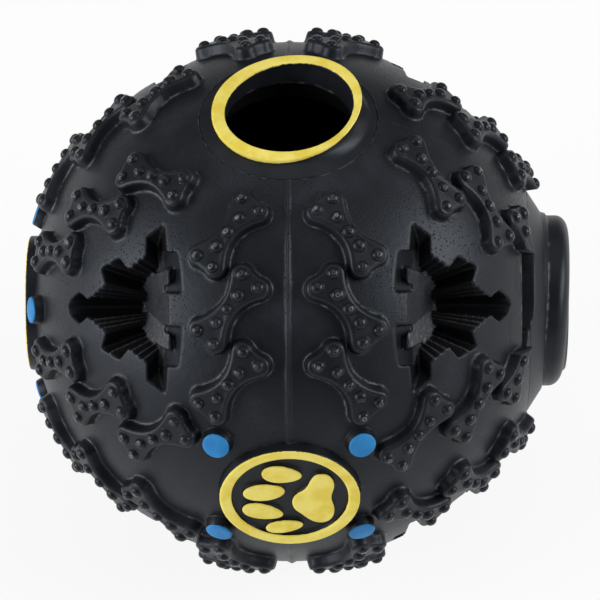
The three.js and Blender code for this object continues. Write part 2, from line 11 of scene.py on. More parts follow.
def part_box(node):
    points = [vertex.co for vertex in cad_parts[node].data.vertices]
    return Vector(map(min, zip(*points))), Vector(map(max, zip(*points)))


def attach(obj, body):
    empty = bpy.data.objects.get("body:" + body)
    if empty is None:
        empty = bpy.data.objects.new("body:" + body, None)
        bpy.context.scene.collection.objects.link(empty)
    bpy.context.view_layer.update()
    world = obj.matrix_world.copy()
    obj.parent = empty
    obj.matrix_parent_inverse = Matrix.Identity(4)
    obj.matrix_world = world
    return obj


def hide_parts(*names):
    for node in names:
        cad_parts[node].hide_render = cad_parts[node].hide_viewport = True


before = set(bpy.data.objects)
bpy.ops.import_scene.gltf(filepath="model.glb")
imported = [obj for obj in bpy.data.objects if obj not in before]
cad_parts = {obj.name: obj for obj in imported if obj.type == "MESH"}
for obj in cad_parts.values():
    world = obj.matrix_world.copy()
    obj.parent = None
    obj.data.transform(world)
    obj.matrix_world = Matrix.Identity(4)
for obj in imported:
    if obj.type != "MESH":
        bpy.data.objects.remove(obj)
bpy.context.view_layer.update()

MM = 0.001
RNG = np.random.default_rng(7)

# The ball's middle in the row frame, from the CAD pieces
CENTRE = Vector((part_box("shell_left")[1].x, 0, -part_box("badge_front")[0].y))

# Shell sizes, in millimetres from the ball's middle
BALL_RADIUS = 56.0
SHELL_WALL = 3.0
SHELL_INNER = BALL_RADIUS - SHELL_WALL
OUTSIDE = BALL_RADIUS + 6
FIT_GAP = 0.3
SEAT_GAP = 0.05
MOUTH_BASE_RADIUS = 18.3
PORT_SKIRT_RADIUS = 24.5
BADGE_RADIUS = 14.5
VOXEL = 0.3
BADGE_VOXEL = 0.16
# Stored where a point is far from what a mark is about
FAR = 9.0

POLES = {
    "top": Vector((0, 0, 1)),
    "bottom": Vector((0, 0, -1)),
    "front": Vector((0, -1, 0)),
    "back": Vector((0, 1, 0)),
    "right": Vector((1, 0, 0)),
    "left": Vector((-1, 0, 0)),
}
# The front badge sits a little low
FRONT_SEAT = Vector((0, -1, -0.0145)).normalized()
HOLE_AXES = {**POLES, "front": FRONT_SEAT}
HOLE_RADII = {
    "top": MOUTH_BASE_RADIUS,
    "right": PORT_SKIRT_RADIUS,
    **dict.fromkeys(("left", "front", "back", "bottom"), BADGE_RADIUS),
}


# Mesh helpers. Meshes are made in millimetres about the ball's middle.

def towards(direction):
    return Vector((0, 0, 1)).rotation_difference(direction.normalized())


def sphere_height(radius, distance):
    return math.sqrt(radius * radius - distance * distance)


def linked(name, data):
    obj = bpy.data.objects.new(name, data)
    bpy.context.scene.collection.objects.link(obj)
    return obj


def made(name, bm):
    """A new object from an edited mesh."""
    mesh = bpy.data.meshes.new(name)
    bm.to_mesh(mesh)
    bm.free()
    return linked(name, mesh)


def mesh_object(name, vertices, faces):
    mesh = bpy.data.meshes.new(name)
    mesh.from_pydata([tuple(v) for v in vertices], [], faces)
    obj = linked(name, mesh)
    bm = bmesh.new()
    bm.from_mesh(mesh)
    bmesh.ops.recalc_face_normals(bm, faces=bm.faces)
    bm.to_mesh(mesh)
    bm.free()
    return obj


def polar(radius, angle, height, turn):
    return turn @ Vector((radius * math.cos(angle), radius * math.sin(angle), height))


def circle(radius, height, segments, turn):
    """Points of a circle round the turned Z axis."""
    return [polar(radius, 2 * math.pi * k / segments, height, turn) for k in range(segments)]


def stacked(rings):
    """Vertices and faces of a closed solid through rings of equal length, capped at both ends."""
    count = len(rings[0])
    vertices = [point for ring in rings for point in ring]
    faces = []
    for level in range(len(rings) - 1):
        for i in range(count):
            j = (i + 1) % count
            low, high = level * count, (level + 1) * count
            faces.append((low + i, low + j, high + j, high + i))
    faces.append(tuple(reversed(range(count))))
    faces.append(tuple(range(len(vertices) - count, len(vertices))))
    return vertices, faces


def looped(rings):
    """Vertices and faces of a closed loop of rings, the last joined to the first."""
    count = len(rings[0])
    vertices = [point for ring in rings for point in ring]
    faces = []
    for level in range(len(rings)):
        here, after = level * count, (level + 1) % len(rings) * count
        for i in range(count):
            j = (i + 1) % count
            faces.append((here + i, here + j, after + j, after + i))
    return vertices, faces


def solid(name, rings):
    return mesh_object(name, *stacked(rings))


def joined(name, parts):
    """One mesh object from (vertices, faces) pairs."""
    vertices, faces = [], []
    for part_vertices, part_faces in parts:
        offset = len(vertices)
        vertices.extend(part_vertices)
        faces.extend(tuple(i + offset for i in face) for face in part_faces)
    return mesh_object(name, vertices, faces)


def lathe(name, profile, segments, pole):
    """A closed profile of (radius, height) turned about a pole."""
    turn = towards(pole)
    rings = [circle(radius, height, segments, turn) for radius, height in profile]
    return mesh_object(name, *looped(rings))


def rounded(profile, radius, steps=5):
    """A closed profile with its corners rounded off."""
    points = []
    count = len(profile)
    for i in range(count):
        before, corner, after = (Vector(profile[(i + k) % count]) for k in (-1, 0, 1))
        start, end = (corner + (other - corner).normalized() * min(radius, (other - corner).length * 0.45)
                      for other in (before, after))
        for k in range(steps + 1):
            t = k / steps
            points.append(tuple(start * (1 - t) ** 2 + corner * 2 * t * (1 - t) + end * t * t))
    return points


def refined(profile, step):
    """A closed profile with points no further apart than step."""
    points = []
    for i, a in enumerate(profile):
        b = profile[(i + 1) % len(profile)]
        pieces = max(1, math.ceil(math.dist(a, b) / step))
        points += [(a[0] + (b[0] - a[0]) * k / pieces, a[1] + (b[1] - a[1]) * k / pieces)
                   for k in range(pieces)]
    return points


def modified(obj, kind, **settings):
    """Applies one modifier to obj and returns obj."""
    modifier = obj.modifiers.new(kind.lower(), kind)
    for key, value in settings.items():
        setattr(modifier, key, value)
    evaluated = obj.evaluated_get(bpy.context.evaluated_depsgraph_get())
    mesh = bpy.data.meshes.new_from_object(evaluated)
    obj.modifiers.clear()
    old = obj.data
    obj.data = mesh
    bpy.data.meshes.remove(old)
    return obj


def boolean(obj, other, operation):
    modified(obj, "BOOLEAN", operation=operation, object=other, solver="MANIFOLD")
    bpy.data.objects.remove(other)
    return obj


def melted(obj, voxel_size):
    """One even skin over everything in obj, with its edges a little softened."""
    modified(obj, "REMESH", mode="VOXEL", voxel_size=voxel_size, adaptivity=0)
    modified(obj, "SMOOTH", factor=0.5, iterations=2)


def points_of(obj):
    co = np.empty(len(obj.data.vertices) * 3)
    obj.data.vertices.foreach_get("co", co)
    return co.reshape(-1, 3)


def set_points(obj, co):
    obj.data.vertices.foreach_set("co", co.ravel())
    obj.data.update()


def marked(obj, **marks):
    """Stores one number per mark on each point."""
    for name, values in marks.items():
        attribute = obj.data.attributes.new(name, "FLOAT", "POINT")
        attribute.data.foreach_set("value", np.asarray(values, np.float32))


def use(obj, mat):
    obj.data.materials.clear()
    obj.data.materials.append(mat)


def placed(obj, mat, node_name):
    """Puts a finished piece in the frame, in metres, in place of its CAD node."""
    obj.data.transform(Matrix.Translation(CENTRE) @ Matrix.Scale(MM, 4))
    obj.data.update()
    obj.data.polygons.foreach_set("use_smooth", [True] * len(obj.data.polygons))
    use(obj, mat)
    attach(obj, "root")
    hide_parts(node_name)


# Bone treads: outline, body with rounded upper edges, and nubs

BONE_HEIGHT = 2.6
BONE_HALF_LENGTH = 6.9
LOBE_OFFSET = 2.2
LOBE_RADIUS = 2.6
LOBE_END = 55
WAIST_HALF_WIDTH = 2.25
BONE_LATERAL = 12
BONE_TURN = 40
BONE_START = 29.7
MOUTH_BONE_START = 31
PORT_BONE_START = 27.6
BONE_STEP = 15.6
PORT_BONE_STEP = 15.2
BONES_PER_SIDE = 3
LEFT_TREAD_SHIFT = 1.6
NUB_RADIUS = 1.25
NUB_HEIGHT = 0.85
NUB_ROOT = 0.4
NUB_PLACES = [(-3.5, 0), (0, 0), (3.5, 0), (-7.1, -2.05), (-7.1, 2.05), (7.1, -2.05), (7.1, 2.05)]
# Height above the ball and how far the outline is drawn in there
BONE_LEVELS = [(-1.5, 0), (0.1, 0.02), (BONE_HEIGHT - 0.7, 0.42), (BONE_HEIGHT - 0.35, 0.55),
               (BONE_HEIGHT - 0.12, 0.78), (BONE_HEIGHT, 1.15)]


def bone_outline(shrink):
    """Outline of a tread: two lobes at each end, and a waist between the ends."""
    radius = LOBE_RADIUS - shrink
    waist = WAIST_HALF_WIDTH - shrink
    edge = BONE_HALF_LENGTH - radius * math.cos(math.radians(LOBE_END))
    rise = LOBE_OFFSET + radius * math.sin(math.radians(LOBE_END)) - waist

    def lobe(x, y, first, last, steps=14):
        angles = [math.radians(first + (last - first) * k / steps) for k in range(steps + 1)]
        return [(x + radius * math.cos(a), y + radius * math.sin(a)) for a in angles]

    def waist_side(sign):
        shares = [math.cos(math.pi * k / 10) for k in range(1, 10)]
        return [(sign * edge * share, sign * (waist + rise * share ** 2)) for share in shares]

    return [
        *lobe(BONE_HALF_LENGTH, -LOBE_OFFSET, -125, 32),
        *lobe(BONE_HALF_LENGTH, LOBE_OFFSET, -32, 125),
        *waist_side(1),
        *lobe(-BONE_HALF_LENGTH, LOBE_OFFSET, LOBE_END, 212),
        *lobe(-BONE_HALF_LENGTH, -LOBE_OFFSET, 148, 305),
        *waist_side(-1),
    ]


def carried(centre, along):
    """Carries a point of the tangent plane and a height onto the ball."""
    normal = centre.normalized()
    u = (along - normal * along.dot(normal)).normalized()
    v = normal.cross(u)

    def place(x, y, height):
        return (normal * BALL_RADIUS + u * x + v * y).normalized() * (BALL_RADIUS + height)

    return place


def bone_body(centre, along):
    place = carried(centre, along)
    return stacked([[place(x, y, height) for x, y in bone_outline(shrink)]
                    for height, shrink in BONE_LEVELS])


def dome(direction, base, height, radius, segments=16):
    """A nub: a low round-topped bump on a short foot."""
    profile = [(radius * 1.04, base), (radius * 1.04, base + height * 0.3)]
    for k in range(1, 6):
        angle = math.pi / 2 * k / 5.6
        profile.append((radius * math.cos(angle), base + height * (0.3 + 0.7 * math.sin(angle))))
    turn = towards(direction)
    return stacked([circle(r, z, segments, turn) for r, z in profile])


def side_bones(start, end, inward, first, step):
    """Centre and long direction of the treads along one side of an octant, from start to end."""
    lateral = math.radians(BONE_LATERAL)
    turn = math.radians(BONE_TURN)
    places = []
    for i in range(BONES_PER_SIDE):
        angle = math.radians(first + step * i)
        on_side = start * math.cos(angle) + end * math.sin(angle)
        forward = end * math.cos(angle) - start * math.sin(angle)
        centre = on_side * math.cos(lateral) + inward * math.sin(lateral)
        places.append((centre, forward * math.cos(turn) + inward * math.sin(turn)))
    return places


def octant_bones(x, y, z):
    side = POLES["right" if x > 0 else "left"]
    depth = POLES["back" if y > 0 else "front"]
    height = POLES["top" if z > 0 else "bottom"]
    upper_start = MOUTH_BONE_START if z > 0 else PORT_BONE_START
    seam = side_bones(height, depth, side, MOUTH_BONE_START if z > 0 else BONE_START, BONE_STEP)
    if x > 0:
        return [
            *seam,
            *side_bones(height, side, depth, upper_start, PORT_BONE_STEP),
            *side_bones(depth, side, height, PORT_BONE_START, PORT_BONE_STEP),
        ]
    others = [
        *side_bones(side, height, depth, BONE_START, BONE_STEP),
        *side_bones(side, depth, height, BONE_START, BONE_STEP),
    ]
    if y < 0:
        shift = Matrix.Rotation(math.radians(LEFT_TREAD_SHIFT), 3, "X")
        others = [(shift @ centre, shift @ along) for centre, along in others]
    return seam + others


OCTANTS = [(x, y, z) for x in (-1, 1) for y in (-1, 1) for z in (-1, 1)]
BONES = [place for octant in OCTANTS for place in octant_bones(*octant)]


def nub_axes():
    axes = []
    for centre, along in BONES:
        place = carried(centre, along)
        for x, y in NUB_PLACES:
            shift = RNG.normal(0, 0.08, 2)
            axes.append(place(x + shift[0], y + shift[1], 0).normalized())
    return axes


NUBS = nub_axes()

# Studs: four round each badge

STUD_RADIUS = 3.15
STUD_TOP_RADIUS = 2.75
STUD_HEIGHT = 2.3
STUD_ANGLE = 20
STUD_TURN = 41.5
LEFT_STUD_TURN = -8
# Radius and height above the ball, from the root to the slightly domed top
STUD_PROFILE = [
    (STUD_RADIUS + 0.15, -1.5),
    (STUD_RADIUS, 0.15),
    (STUD_TOP_RADIUS + 0.05, STUD_HEIGHT - 0.35),
    (STUD_TOP_RADIUS - 0.08, STUD_HEIGHT - 0.12),
    (STUD_TOP_RADIUS - 0.4, STUD_HEIGHT),
    (STUD_TOP_RADIUS - 1.2, STUD_HEIGHT + 0.05),
]


def stud_axes():
    axes = []
    tilt = math.radians(STUD_ANGLE)
    for name in ("left", "front", "back", "bottom"):
        for around in (STUD_TURN, 180 - STUD_TURN, 180 + STUD_TURN, 360 - STUD_TURN):
            turn = math.radians(around + (LEFT_STUD_TURN if name == "left" else 0))
            local = (math.sin(tilt) * math.cos(turn), math.sin(tilt) * math.sin(turn), math.cos(tilt))
            axes.append(towards(POLES[name]) @ Vector(local))
    return axes


STUDS = stud_axes()


def stud_body(direction):
    turn = towards(direction)
    return stacked([circle(r, BALL_RADIUS + h, 48, turn) for r, h in STUD_PROFILE])


# Star pockets. Half of the outline, in the octant's tangent plane, as distance from the pocket's
# mirror line and distance towards the bonding plane.

STAR_HALF_OUTLINE = [
    (0, -20.2), (1.7, -19), (3.4, -15.6), (1.8, -12.4), (5.1, -6.8), (8.5, -8.6),
    (10.6, -3.7), (8.2, -0.9), (11.3, 3.6), (15.2, 3), (18.3, 7), (17.6, 12),
]
STAR_SHIFT = 1.8
STAR_TIP = 20.2
STAR_TAB = 11.4
# The walls run from the outline to one point deep in the ball, given beside the bonding plane
# and outward. The cutter takes these shares of the way.
POCKET_APEX = (16.0, 26.0)
POCKET_SHARES = (0.12, 1.25)
POCKET_WALL = 3.4
SEAM_WALL_EDGE = 24.0
SEAM_WALL_LEAN = 15.4
NOTCH_START = 3.3
NOTCH_END = 11.6
NOTCH_WIDTH = 2.9
NOTCH_DEPTH = 2.0
NOTCH_SLOPE = 1.8
NOTCH_LENGTH = 8.0
NOTCH_TOP = BALL_RADIUS + 5
RIB_DEPTH = 0.75
RIB_HALF_WIDTH = 0.45
# First and last point of an edge of the half outline, and the places of its ribs
RIBBED_EDGES = [(3, 4, (0.3, 0.55, 0.8)), (5, 6, (0.5,)), (7, 8, (0.2, 0.5, 0.8))]


def ribbed(a, b, shares):
    """Foot, crest and foot of small ribs standing into the pocket on the wall from a to b."""
    a, b = Vector(a), Vector(b)
    along = (b - a).normalized()
    inward = Vector((-along.y, along.x))
    if inward.dot(-(a + b) / 2) < 0:
        inward = -inward
    points = []
    for share in shares:
        middle = a.lerp(b, share)
        points += [
            middle - along * RIB_HALF_WIDTH,
            middle + inward * RIB_DEPTH,
            middle + along * RIB_HALF_WIDTH,
        ]
    return [tuple(p) for p in points]


def star_outline():
    half = STAR_HALF_OUTLINE
    right = []
    for i, point in enumerate(half):
        right.append(point)
        for start, end, shares in RIBBED_EDGES:
            if i == start:
                right += ribbed(half[start], half[end], shares)
    left = [(-x, y) for x, y in right[1:]]
    return left[::-1] + right


def crest_points():
    half = STAR_HALF_OUTLINE
    right = [point for start, end, shares in RIBBED_EDGES
             for point in ribbed(half[start], half[end], shares)[1::3]]
    return right + [(-x, y) for x, y in right]


PocketAxes = namedtuple("PocketAxes", "normal side middle to_seam across")


def pocket_axes(octant):
    """Directions of a pocket. The pockets beside the mouth are turned a little away from it."""
    x, y, z = octant
    turn = Matrix.Rotation(math.radians(STAR_SHIFT) * -y, 3, "X") if z > 0 else Matrix.Identity(3)
    normal = turn @ Vector(octant).normalized()
    middle = turn @ Vector((0, y, z)).normalized()
    to_seam = (middle - normal * middle.dot(normal)).normalized()
    return PocketAxes(normal, Vector((x, 0, 0)), middle, to_seam, to_seam.cross(normal))


def pocket_apex(octant):
    axes = pocket_axes(octant)
    return axes.side * POCKET_APEX[0] + axes.middle * POCKET_APEX[1]


def seam_wall(axes):
    """The plain wall beside the bonding plane: a point on its upper edge, and its direction."""
    lean = math.radians(SEAM_WALL_LEAN)
    edge = axes.side * SEAM_WALL_EDGE + axes.middle * sphere_height(BALL_RADIUS, SEAM_WALL_EDGE)
    return edge, axes.side * math.cos(lean) + axes.middle * math.sin(lean)


def cut_solid(name, rings, point, normal):
    """A solid through rings, of which only what is on the normal's side of a plane is kept."""
    obj = solid(name, rings)
    bm = bmesh.new()
    bm.from_mesh(obj.data)
    geometry = bm.verts[:] + bm.edges[:] + bm.faces[:]
    cut = bmesh.ops.bisect_plane(bm, geom=geometry, plane_co=point, plane_no=normal, clear_inner=True)
    edges = [e for e in cut["geom_cut"] if isinstance(e, bmesh.types.BMEdge)]
    bmesh.ops.holes_fill(bm, edges=edges, sides=0)
    bmesh.ops.triangulate(bm, faces=bm.faces)
    bmesh.ops.recalc_face_normals(bm, faces=bm.faces)
    bm.to_mesh(obj.data)
    bm.free()
    return obj


def pocket_cutter(octant):
    axes = pocket_axes(octant)
    apex = pocket_apex(octant)
    rim = [(axes.normal * BALL_RADIUS + axes.across * u + axes.to_seam * v).normalized() * BALL_RADIUS
           for u, v in star_outline()]
    rings = [[apex + (point - apex) * share for point in rim] for share in POCKET_SHARES]
    return cut_solid("pocket", rings, *seam_wall(axes))


def notch_cutter(octant, sign):
    axes = pocket_axes(octant)
    edge = sphere_height(BALL_RADIUS, SEAM_WALL_EDGE)
    outer = SEAM_WALL_EDGE - NOTCH_WIDTH
    inner = SEAM_WALL_EDGE + NOTCH_LENGTH * math.tan(math.radians(SEAM_WALL_LEAN)) + FIT_GAP
    section = [
        (outer, edge + 1.3),
        (outer + NOTCH_SLOPE, edge - NOTCH_DEPTH),
        (inner, edge - NOTCH_LENGTH),
        (inner, NOTCH_TOP),
        (outer, NOTCH_TOP),
    ]
    return solid("notch", [[axes.side * x + axes.middle * h + axes.across * (sign * u) for x, h in section]
                           for u in (NOTCH_START, NOTCH_END)])


# The plain ramp between the seam wall and the ribbed wall, from the pocket's deepest corner up to
# the notch: its edge on the seam wall, its edge on the ribbed wall, and a point behind both
RAMP = [
    ((31.3, 0.2, 25.4), (30.8, 2.9, 32.6), (29.8, 4.6, 25.0)),
    ((28.5, 1.8, 34.6), (29.0, 6.1, 38.8), (27.2, 7.0, 33.0)),
    ((26.4, 3.2, 42.4), (26.2, 7.4, 45.4), (24.8, 8.4, 41.0)),
    ((24.4, 4.6, 49.6), (24.2, 8.0, 50.1), (23.4, 8.8, 45.5)),
    ((23.9, 5.0, 49.6), (23.7, 8.1, 49.8), (23.2, 8.6, 46.5)),
]


def ramp_place(axes, sign, point):
    x, u, h = point
    return axes.side * x + axes.across * (sign * u) + axes.middle * h


def ramp_surface(octant, sign, steps=12):
    """Points spread over the open side of a ramp."""
    axes = pocket_axes(octant)
    points = []
    for here, there in zip(RAMP, RAMP[1:]):
        for k in range(steps):
            upper = Vector(here[0]).lerp(Vector(there[0]), k / steps)
            lower = Vector(here[1]).lerp(Vector(there[1]), k / steps)
            points += [ramp_place(axes, sign, upper.lerp(lower, m / steps)) for m in range(steps + 1)]
    return np.array([list(p) for p in points])


def pocket_ramp(octant, sign):
    axes = pocket_axes(octant)
    return stacked([[ramp_place(axes, sign, point) for point in ring] for ring in RAMP])


def well_back(octant):
    """The pocket's wall inside the ball: a thicker block round the pocket."""
    axes = pocket_axes(octant)
    reach = STAR_TIP + POCKET_WALL
    flat = STAR_TAB + POCKET_WALL
    half = sphere_height(reach, flat)
    corners = []
    for turn in (90, 210, 330):
        a = math.radians(turn)
        for way in (-half, half):
            corners.append((flat * math.cos(a) - way * math.sin(a), flat * math.sin(a) + way * math.cos(a)))
    rings = [[(axes.normal * BALL_RADIUS + axes.across * u + axes.to_seam * v) * scale for u, v in corners]
             for scale in (0.5, 0.99)]
    edge, facing = seam_wall(axes)
    return cut_solid("well", rings, edge - facing * POCKET_WALL, facing)


# Shell halves

def sphere_object(name, radius, subdivisions):
    bm = bmesh.new()
    bmesh.ops.create_icosphere(bm, subdivisions=subdivisions, radius=radius)
    return made(name, bm)


def seam_rib(segments=400, sides=10):
    """The raised rib along the bonding plane, a little uneven."""
    rings = []
    for k in range(segments):
        a = 2 * math.pi * k / segments
        out = Vector((0, math.cos(a), math.sin(a)))
        swell = 0.5 + 0.06 * math.sin(17 * a) + 0.05 * math.sin(41 * a + 1)
        rings.append([out * (BALL_RADIUS + 0.02 + swell * 0.75 * math.cos(t))
                      + Vector((swell * math.sin(t), 0, 0))
                      for t in (2 * math.pi * j / sides for j in range(sides))])
    return looped(rings)


def disc_tool(name, pole, radius, low, high, segments=128):
    return solid(name, [circle(radius, z, segments, towards(pole)) for z in (low, high)])


# Vents of the sound port, half in its skirt and half in the shell, narrowing towards one end
VENT_INNER = PORT_SKIRT_RADIUS - 1.6
VENT_OUTER = PORT_SKIRT_RADIUS + 3.8
VENT_HALF_ANGLE = 27
VENT_TURNS = (45, 225)
VENT_TAPER = 4.8
VENT_LEVEL_STEP = 0.7
# The treads beside a vent end short of it
TRIM_HALF_ANGLE = 19.8
TRIM_RADIUS = 36.0


def spread(half_angle, steps):
    return [half_angle * (2 * k / steps - 1) for k in range(steps + 1)]


def apart(angle, turn):
    """Angle between two directions, in degrees."""
    return abs((angle - turn + 180) % 360 - 180)


def port_angles(co):
    return np.degrees(np.arctan2(co[:, 1], -co[:, 2]))


def vent_tool(around, outer, low, high, steps=24):
    angles = spread(VENT_HALF_ANGLE, steps)
    outline = [(outer, a) for a in angles]
    outline += [(VENT_INNER + VENT_TAPER * (max(a, 0) / VENT_HALF_ANGLE) ** 1.6, a)
                for a in reversed(angles)]
    turn = towards(POLES["right"])
    rings = []
    levels = math.ceil((high - low) / VENT_LEVEL_STEP)
    for k in range(levels + 1):
        height = low + (high - low) * k / levels
        rings.append([polar(radius, math.radians(around + a), height, turn) for radius, a in outline])
    return solid("vent", rings)


def tread_trim(around, steps=16):
    """What the treads leave free beside a vent: a wedge outside the ball."""
    turn = towards(POLES["right"])
    angles = [math.radians(around + a) for a in spread(TRIM_HALF_ANGLE, steps)]
    outline = [(TRIM_RADIUS, a) for a in angles] + [(VENT_INNER, a) for a in reversed(angles)]
    low, high = sphere_height(BALL_RADIUS, TRIM_RADIUS) - 2, BALL_RADIUS + 2
    wedge = solid("trim", [[polar(radius, a, z, turn) for radius, a in outline] for z in (low, high)])
    return boolean(wedge, sphere_object("ball", BALL_RADIUS + 0.02, 6), "DIFFERENCE")


def outer_skin():
    """The ball's solid outside, with everything moulded on it but the studs and nubs."""
    skin = sphere_object("skin", BALL_RADIUS, 6)
    for octant in OCTANTS:
        boolean(skin, pocket_cutter(octant), "DIFFERENCE")
        for sign in (-1, 1):
            boolean(skin, notch_cutter(octant, sign), "DIFFERENCE")
    ramps = [pocket_ramp(octant, sign) for octant in OCTANTS for sign in (-1, 1)]
    extra = joined("moulded", [bone_body(*place) for place in BONES] + ramps + [seam_rib()])
    bpy.context.view_layer.update()
    bm = bmesh.new()
    bm.from_mesh(skin.data)
    bm.from_mesh(extra.data)
    bm.to_mesh(skin.data)
    bm.free()
    bpy.data.objects.remove(extra)
    melted(skin, VOXEL)
    for around in VENT_TURNS:
        boolean(skin, tread_trim(around), "DIFFERENCE")
    return skin


def beside_vent(axis):
    """Whether a nub stands on the part of a tread that is trimmed off beside a vent."""
    away = math.hypot(axis.y, axis.z)
    angle = math.degrees(math.atan2(axis.y, -axis.z))
    near = min(apart(angle, turn) for turn in VENT_TURNS)
    reach = math.degrees(NUB_RADIUS / away / BALL_RADIUS) * 0.6
    return axis.x > 0 and away * BALL_RADIUS < TRIM_RADIUS and near < TRIM_HALF_ANGLE + reach


def half_space(sign):
    size = 2 * OUTSIDE
    bm = bmesh.new()
    bmesh.ops.create_cube(bm, size=size)
    bmesh.ops.translate(bm, verts=bm.verts, vec=(sign * size / 2, 0, 0))
    return made("half", bm)


def halves():
    skin = outer_skin()
    boolean(skin, joined("studs", [stud_body(axis) for axis in STUDS]), "UNION")
    nub_base = BALL_RADIUS + BONE_HEIGHT - NUB_ROOT
    nubs = [dome(axis, nub_base, NUB_HEIGHT + NUB_ROOT, NUB_RADIUS + RNG.normal(0, 0.06))
            for axis in NUBS if not beside_vent(axis)]
    boolean(skin, joined("nubs", nubs), "UNION")
    hollow = sphere_object("hollow", SHELL_INNER, 5)
    for octant in OCTANTS:
        boolean(hollow, well_back(octant), "DIFFERENCE")
    boolean(skin, hollow, "DIFFERENCE")
    for name, radius in HOLE_RADII.items():
        low = sphere_height(SHELL_INNER, radius) - SHELL_WALL
        boolean(skin, disc_tool("hole", HOLE_AXES[name], radius + SEAT_GAP, low, OUTSIDE), "DIFFERENCE")
    low = sphere_height(SHELL_INNER, VENT_OUTER) - SHELL_WALL
    for around in VENT_TURNS:
        boolean(skin, vent_tool(around, VENT_OUTER, low, OUTSIDE), "DIFFERENCE")
    result = []
    for name, sign in (("shell_left", -1), ("shell_right", 1)):
        half = skin.copy()
        half.data = skin.data.copy()
        half.name = f"{name}_skin"
        bpy.context.scene.collection.objects.link(half)
        boolean(half, half_space(sign), "INTERSECT")
        result.append((name, half))
    bpy.data.objects.remove(skin)
    return result


# Materials

class Nodes:
    """Short calls for building a node tree."""

    def __init__(self, mat):
        self.tree = mat.node_tree

    def link(self, source, target):
        self.tree.links.new(source, target)

    def add(self, kind, inputs=(), **settings):
        """A node with its settings, and a value or a link at each named input."""
        node = self.tree.nodes.new(kind)
        for key, value in settings.items():
            setattr(node, key, value)
        for key, value in dict(inputs).items():
            if isinstance(value, bpy.types.NodeSocket):
                self.link(value, node.inputs[key])
            else:
                node.inputs[key].default_value = value
        return node

    def math(self, operation, a, b):
        return self.add("ShaderNodeMath", {0: a, 1: b}, operation=operation).outputs[0]

    def plus(self, a, b):
        return self.math("ADD", a, b)

    def minus(self, a, b):
        return self.math("SUBTRACT", a, b)

    def times(self, a, b):
        return self.math("MULTIPLY", a, b)

    def ramp(self, value, low, high):
        limits = {"Value": value, "From Min": low, "From Max": high}
        return self.add("ShaderNodeMapRange", limits, interpolation_type="SMOOTHSTEP").outputs["Result"]

    def below(self, value, low, high):
        """1 below low, falling to 0 above high."""
        return self.minus(1.0, self.ramp(value, low, high))

    def mix(self, factor, a, b):
        shares = {"Factor": factor, "A": a, "B": b}
        return self.add("ShaderNodeMix", shares, data_type="RGBA").outputs["Result"]

    def noise(self, coordinate, scale, detail=2.0, roughness=0.5):
        kind = {"Vector": coordinate, "Scale": scale, "Detail": detail, "Roughness": roughness}
        return self.add("ShaderNodeTexNoise", kind).outputs["Fac"]

    def dots(self, coordinate, scale):
        return self.add("ShaderNodeTexVoronoi", {"Vector": coordinate, "Scale": scale}).outputs["Distance"]

    def attribute(self, name):
        return self.add("ShaderNodeAttribute", attribute_name=name).outputs["Fac"]

    def shaded(self, shader, colour, rough, height, strength, distance):
        """Links colour, roughness and a fine relief to a shader."""
        bump = self.add("ShaderNodeBump", {"Strength": strength, "Distance": distance, "Height": height})
        self.link(colour, shader.inputs["Base Color"])
        self.link(rough, shader.inputs["Roughness"])
        self.link(bump.outputs[0], shader.inputs["Normal"])


def empty_material(name):
    mat = bpy.data.materials.new(name)
    mat.use_nodes = True
    mat.node_tree.nodes.clear()
    return mat, Nodes(mat)


def principled_material(name):
    mat, n = empty_material(name)
    shader = n.add("ShaderNodeBsdfPrincipled")
    n.add("ShaderNodeOutputMaterial", {0: shader.outputs[0]})
    return mat, n, shader, n.add("ShaderNodeTexCoord").outputs["Object"]


def srgb(red, green, blue):
    def linear(value):
        value /= 255
        return value / 12.92 if value <= 0.04045 else ((value + 0.055) / 1.055) ** 2.4
    return (linear(red), linear(green), linear(blue), 1)


BLACK = srgb(19, 21, 25)
BLACK_WORN = srgb(33, 35, 40)
RESIDUE = srgb(122, 124, 126)
# Painted shade: near-black laid into pocket walls, vent walls, the badges' sunken fields and the mouth's
# deep bore
SHADE_BLACK = srgb(10, 9, 10)
# Painted shade inside the fine pits
PIT_SHADE_BLACK = srgb(3, 3, 4)
# Painted shade inside the nubs' pinholes
PINHOLE_SHADE_BLACK = srgb(5, 5, 6)
# Painted light on the pocket ramps and the seam wall
RAMP_LIGHT_GREY = srgb(104, 106, 110)
# Painted highlight on the rib crests
CREST_HIGHLIGHT_GREY = srgb(104, 98, 94)
# Painted highlight in a ring round each nub's pinhole
TIP_HIGHLIGHT_GREY = srgb(140, 142, 142)
# Paints, each in a lighter and a deeper tone
BLUE = (srgb(42, 128, 190), srgb(34, 112, 170))
YELLOW = (srgb(238, 221, 112), srgb(226, 203, 76))
RUBBER_SPECULAR = 0.27
RUBBER_TINT = (0.8, 0.88, 1, 1)
RUBBER_ROUGHNESS = 0.34


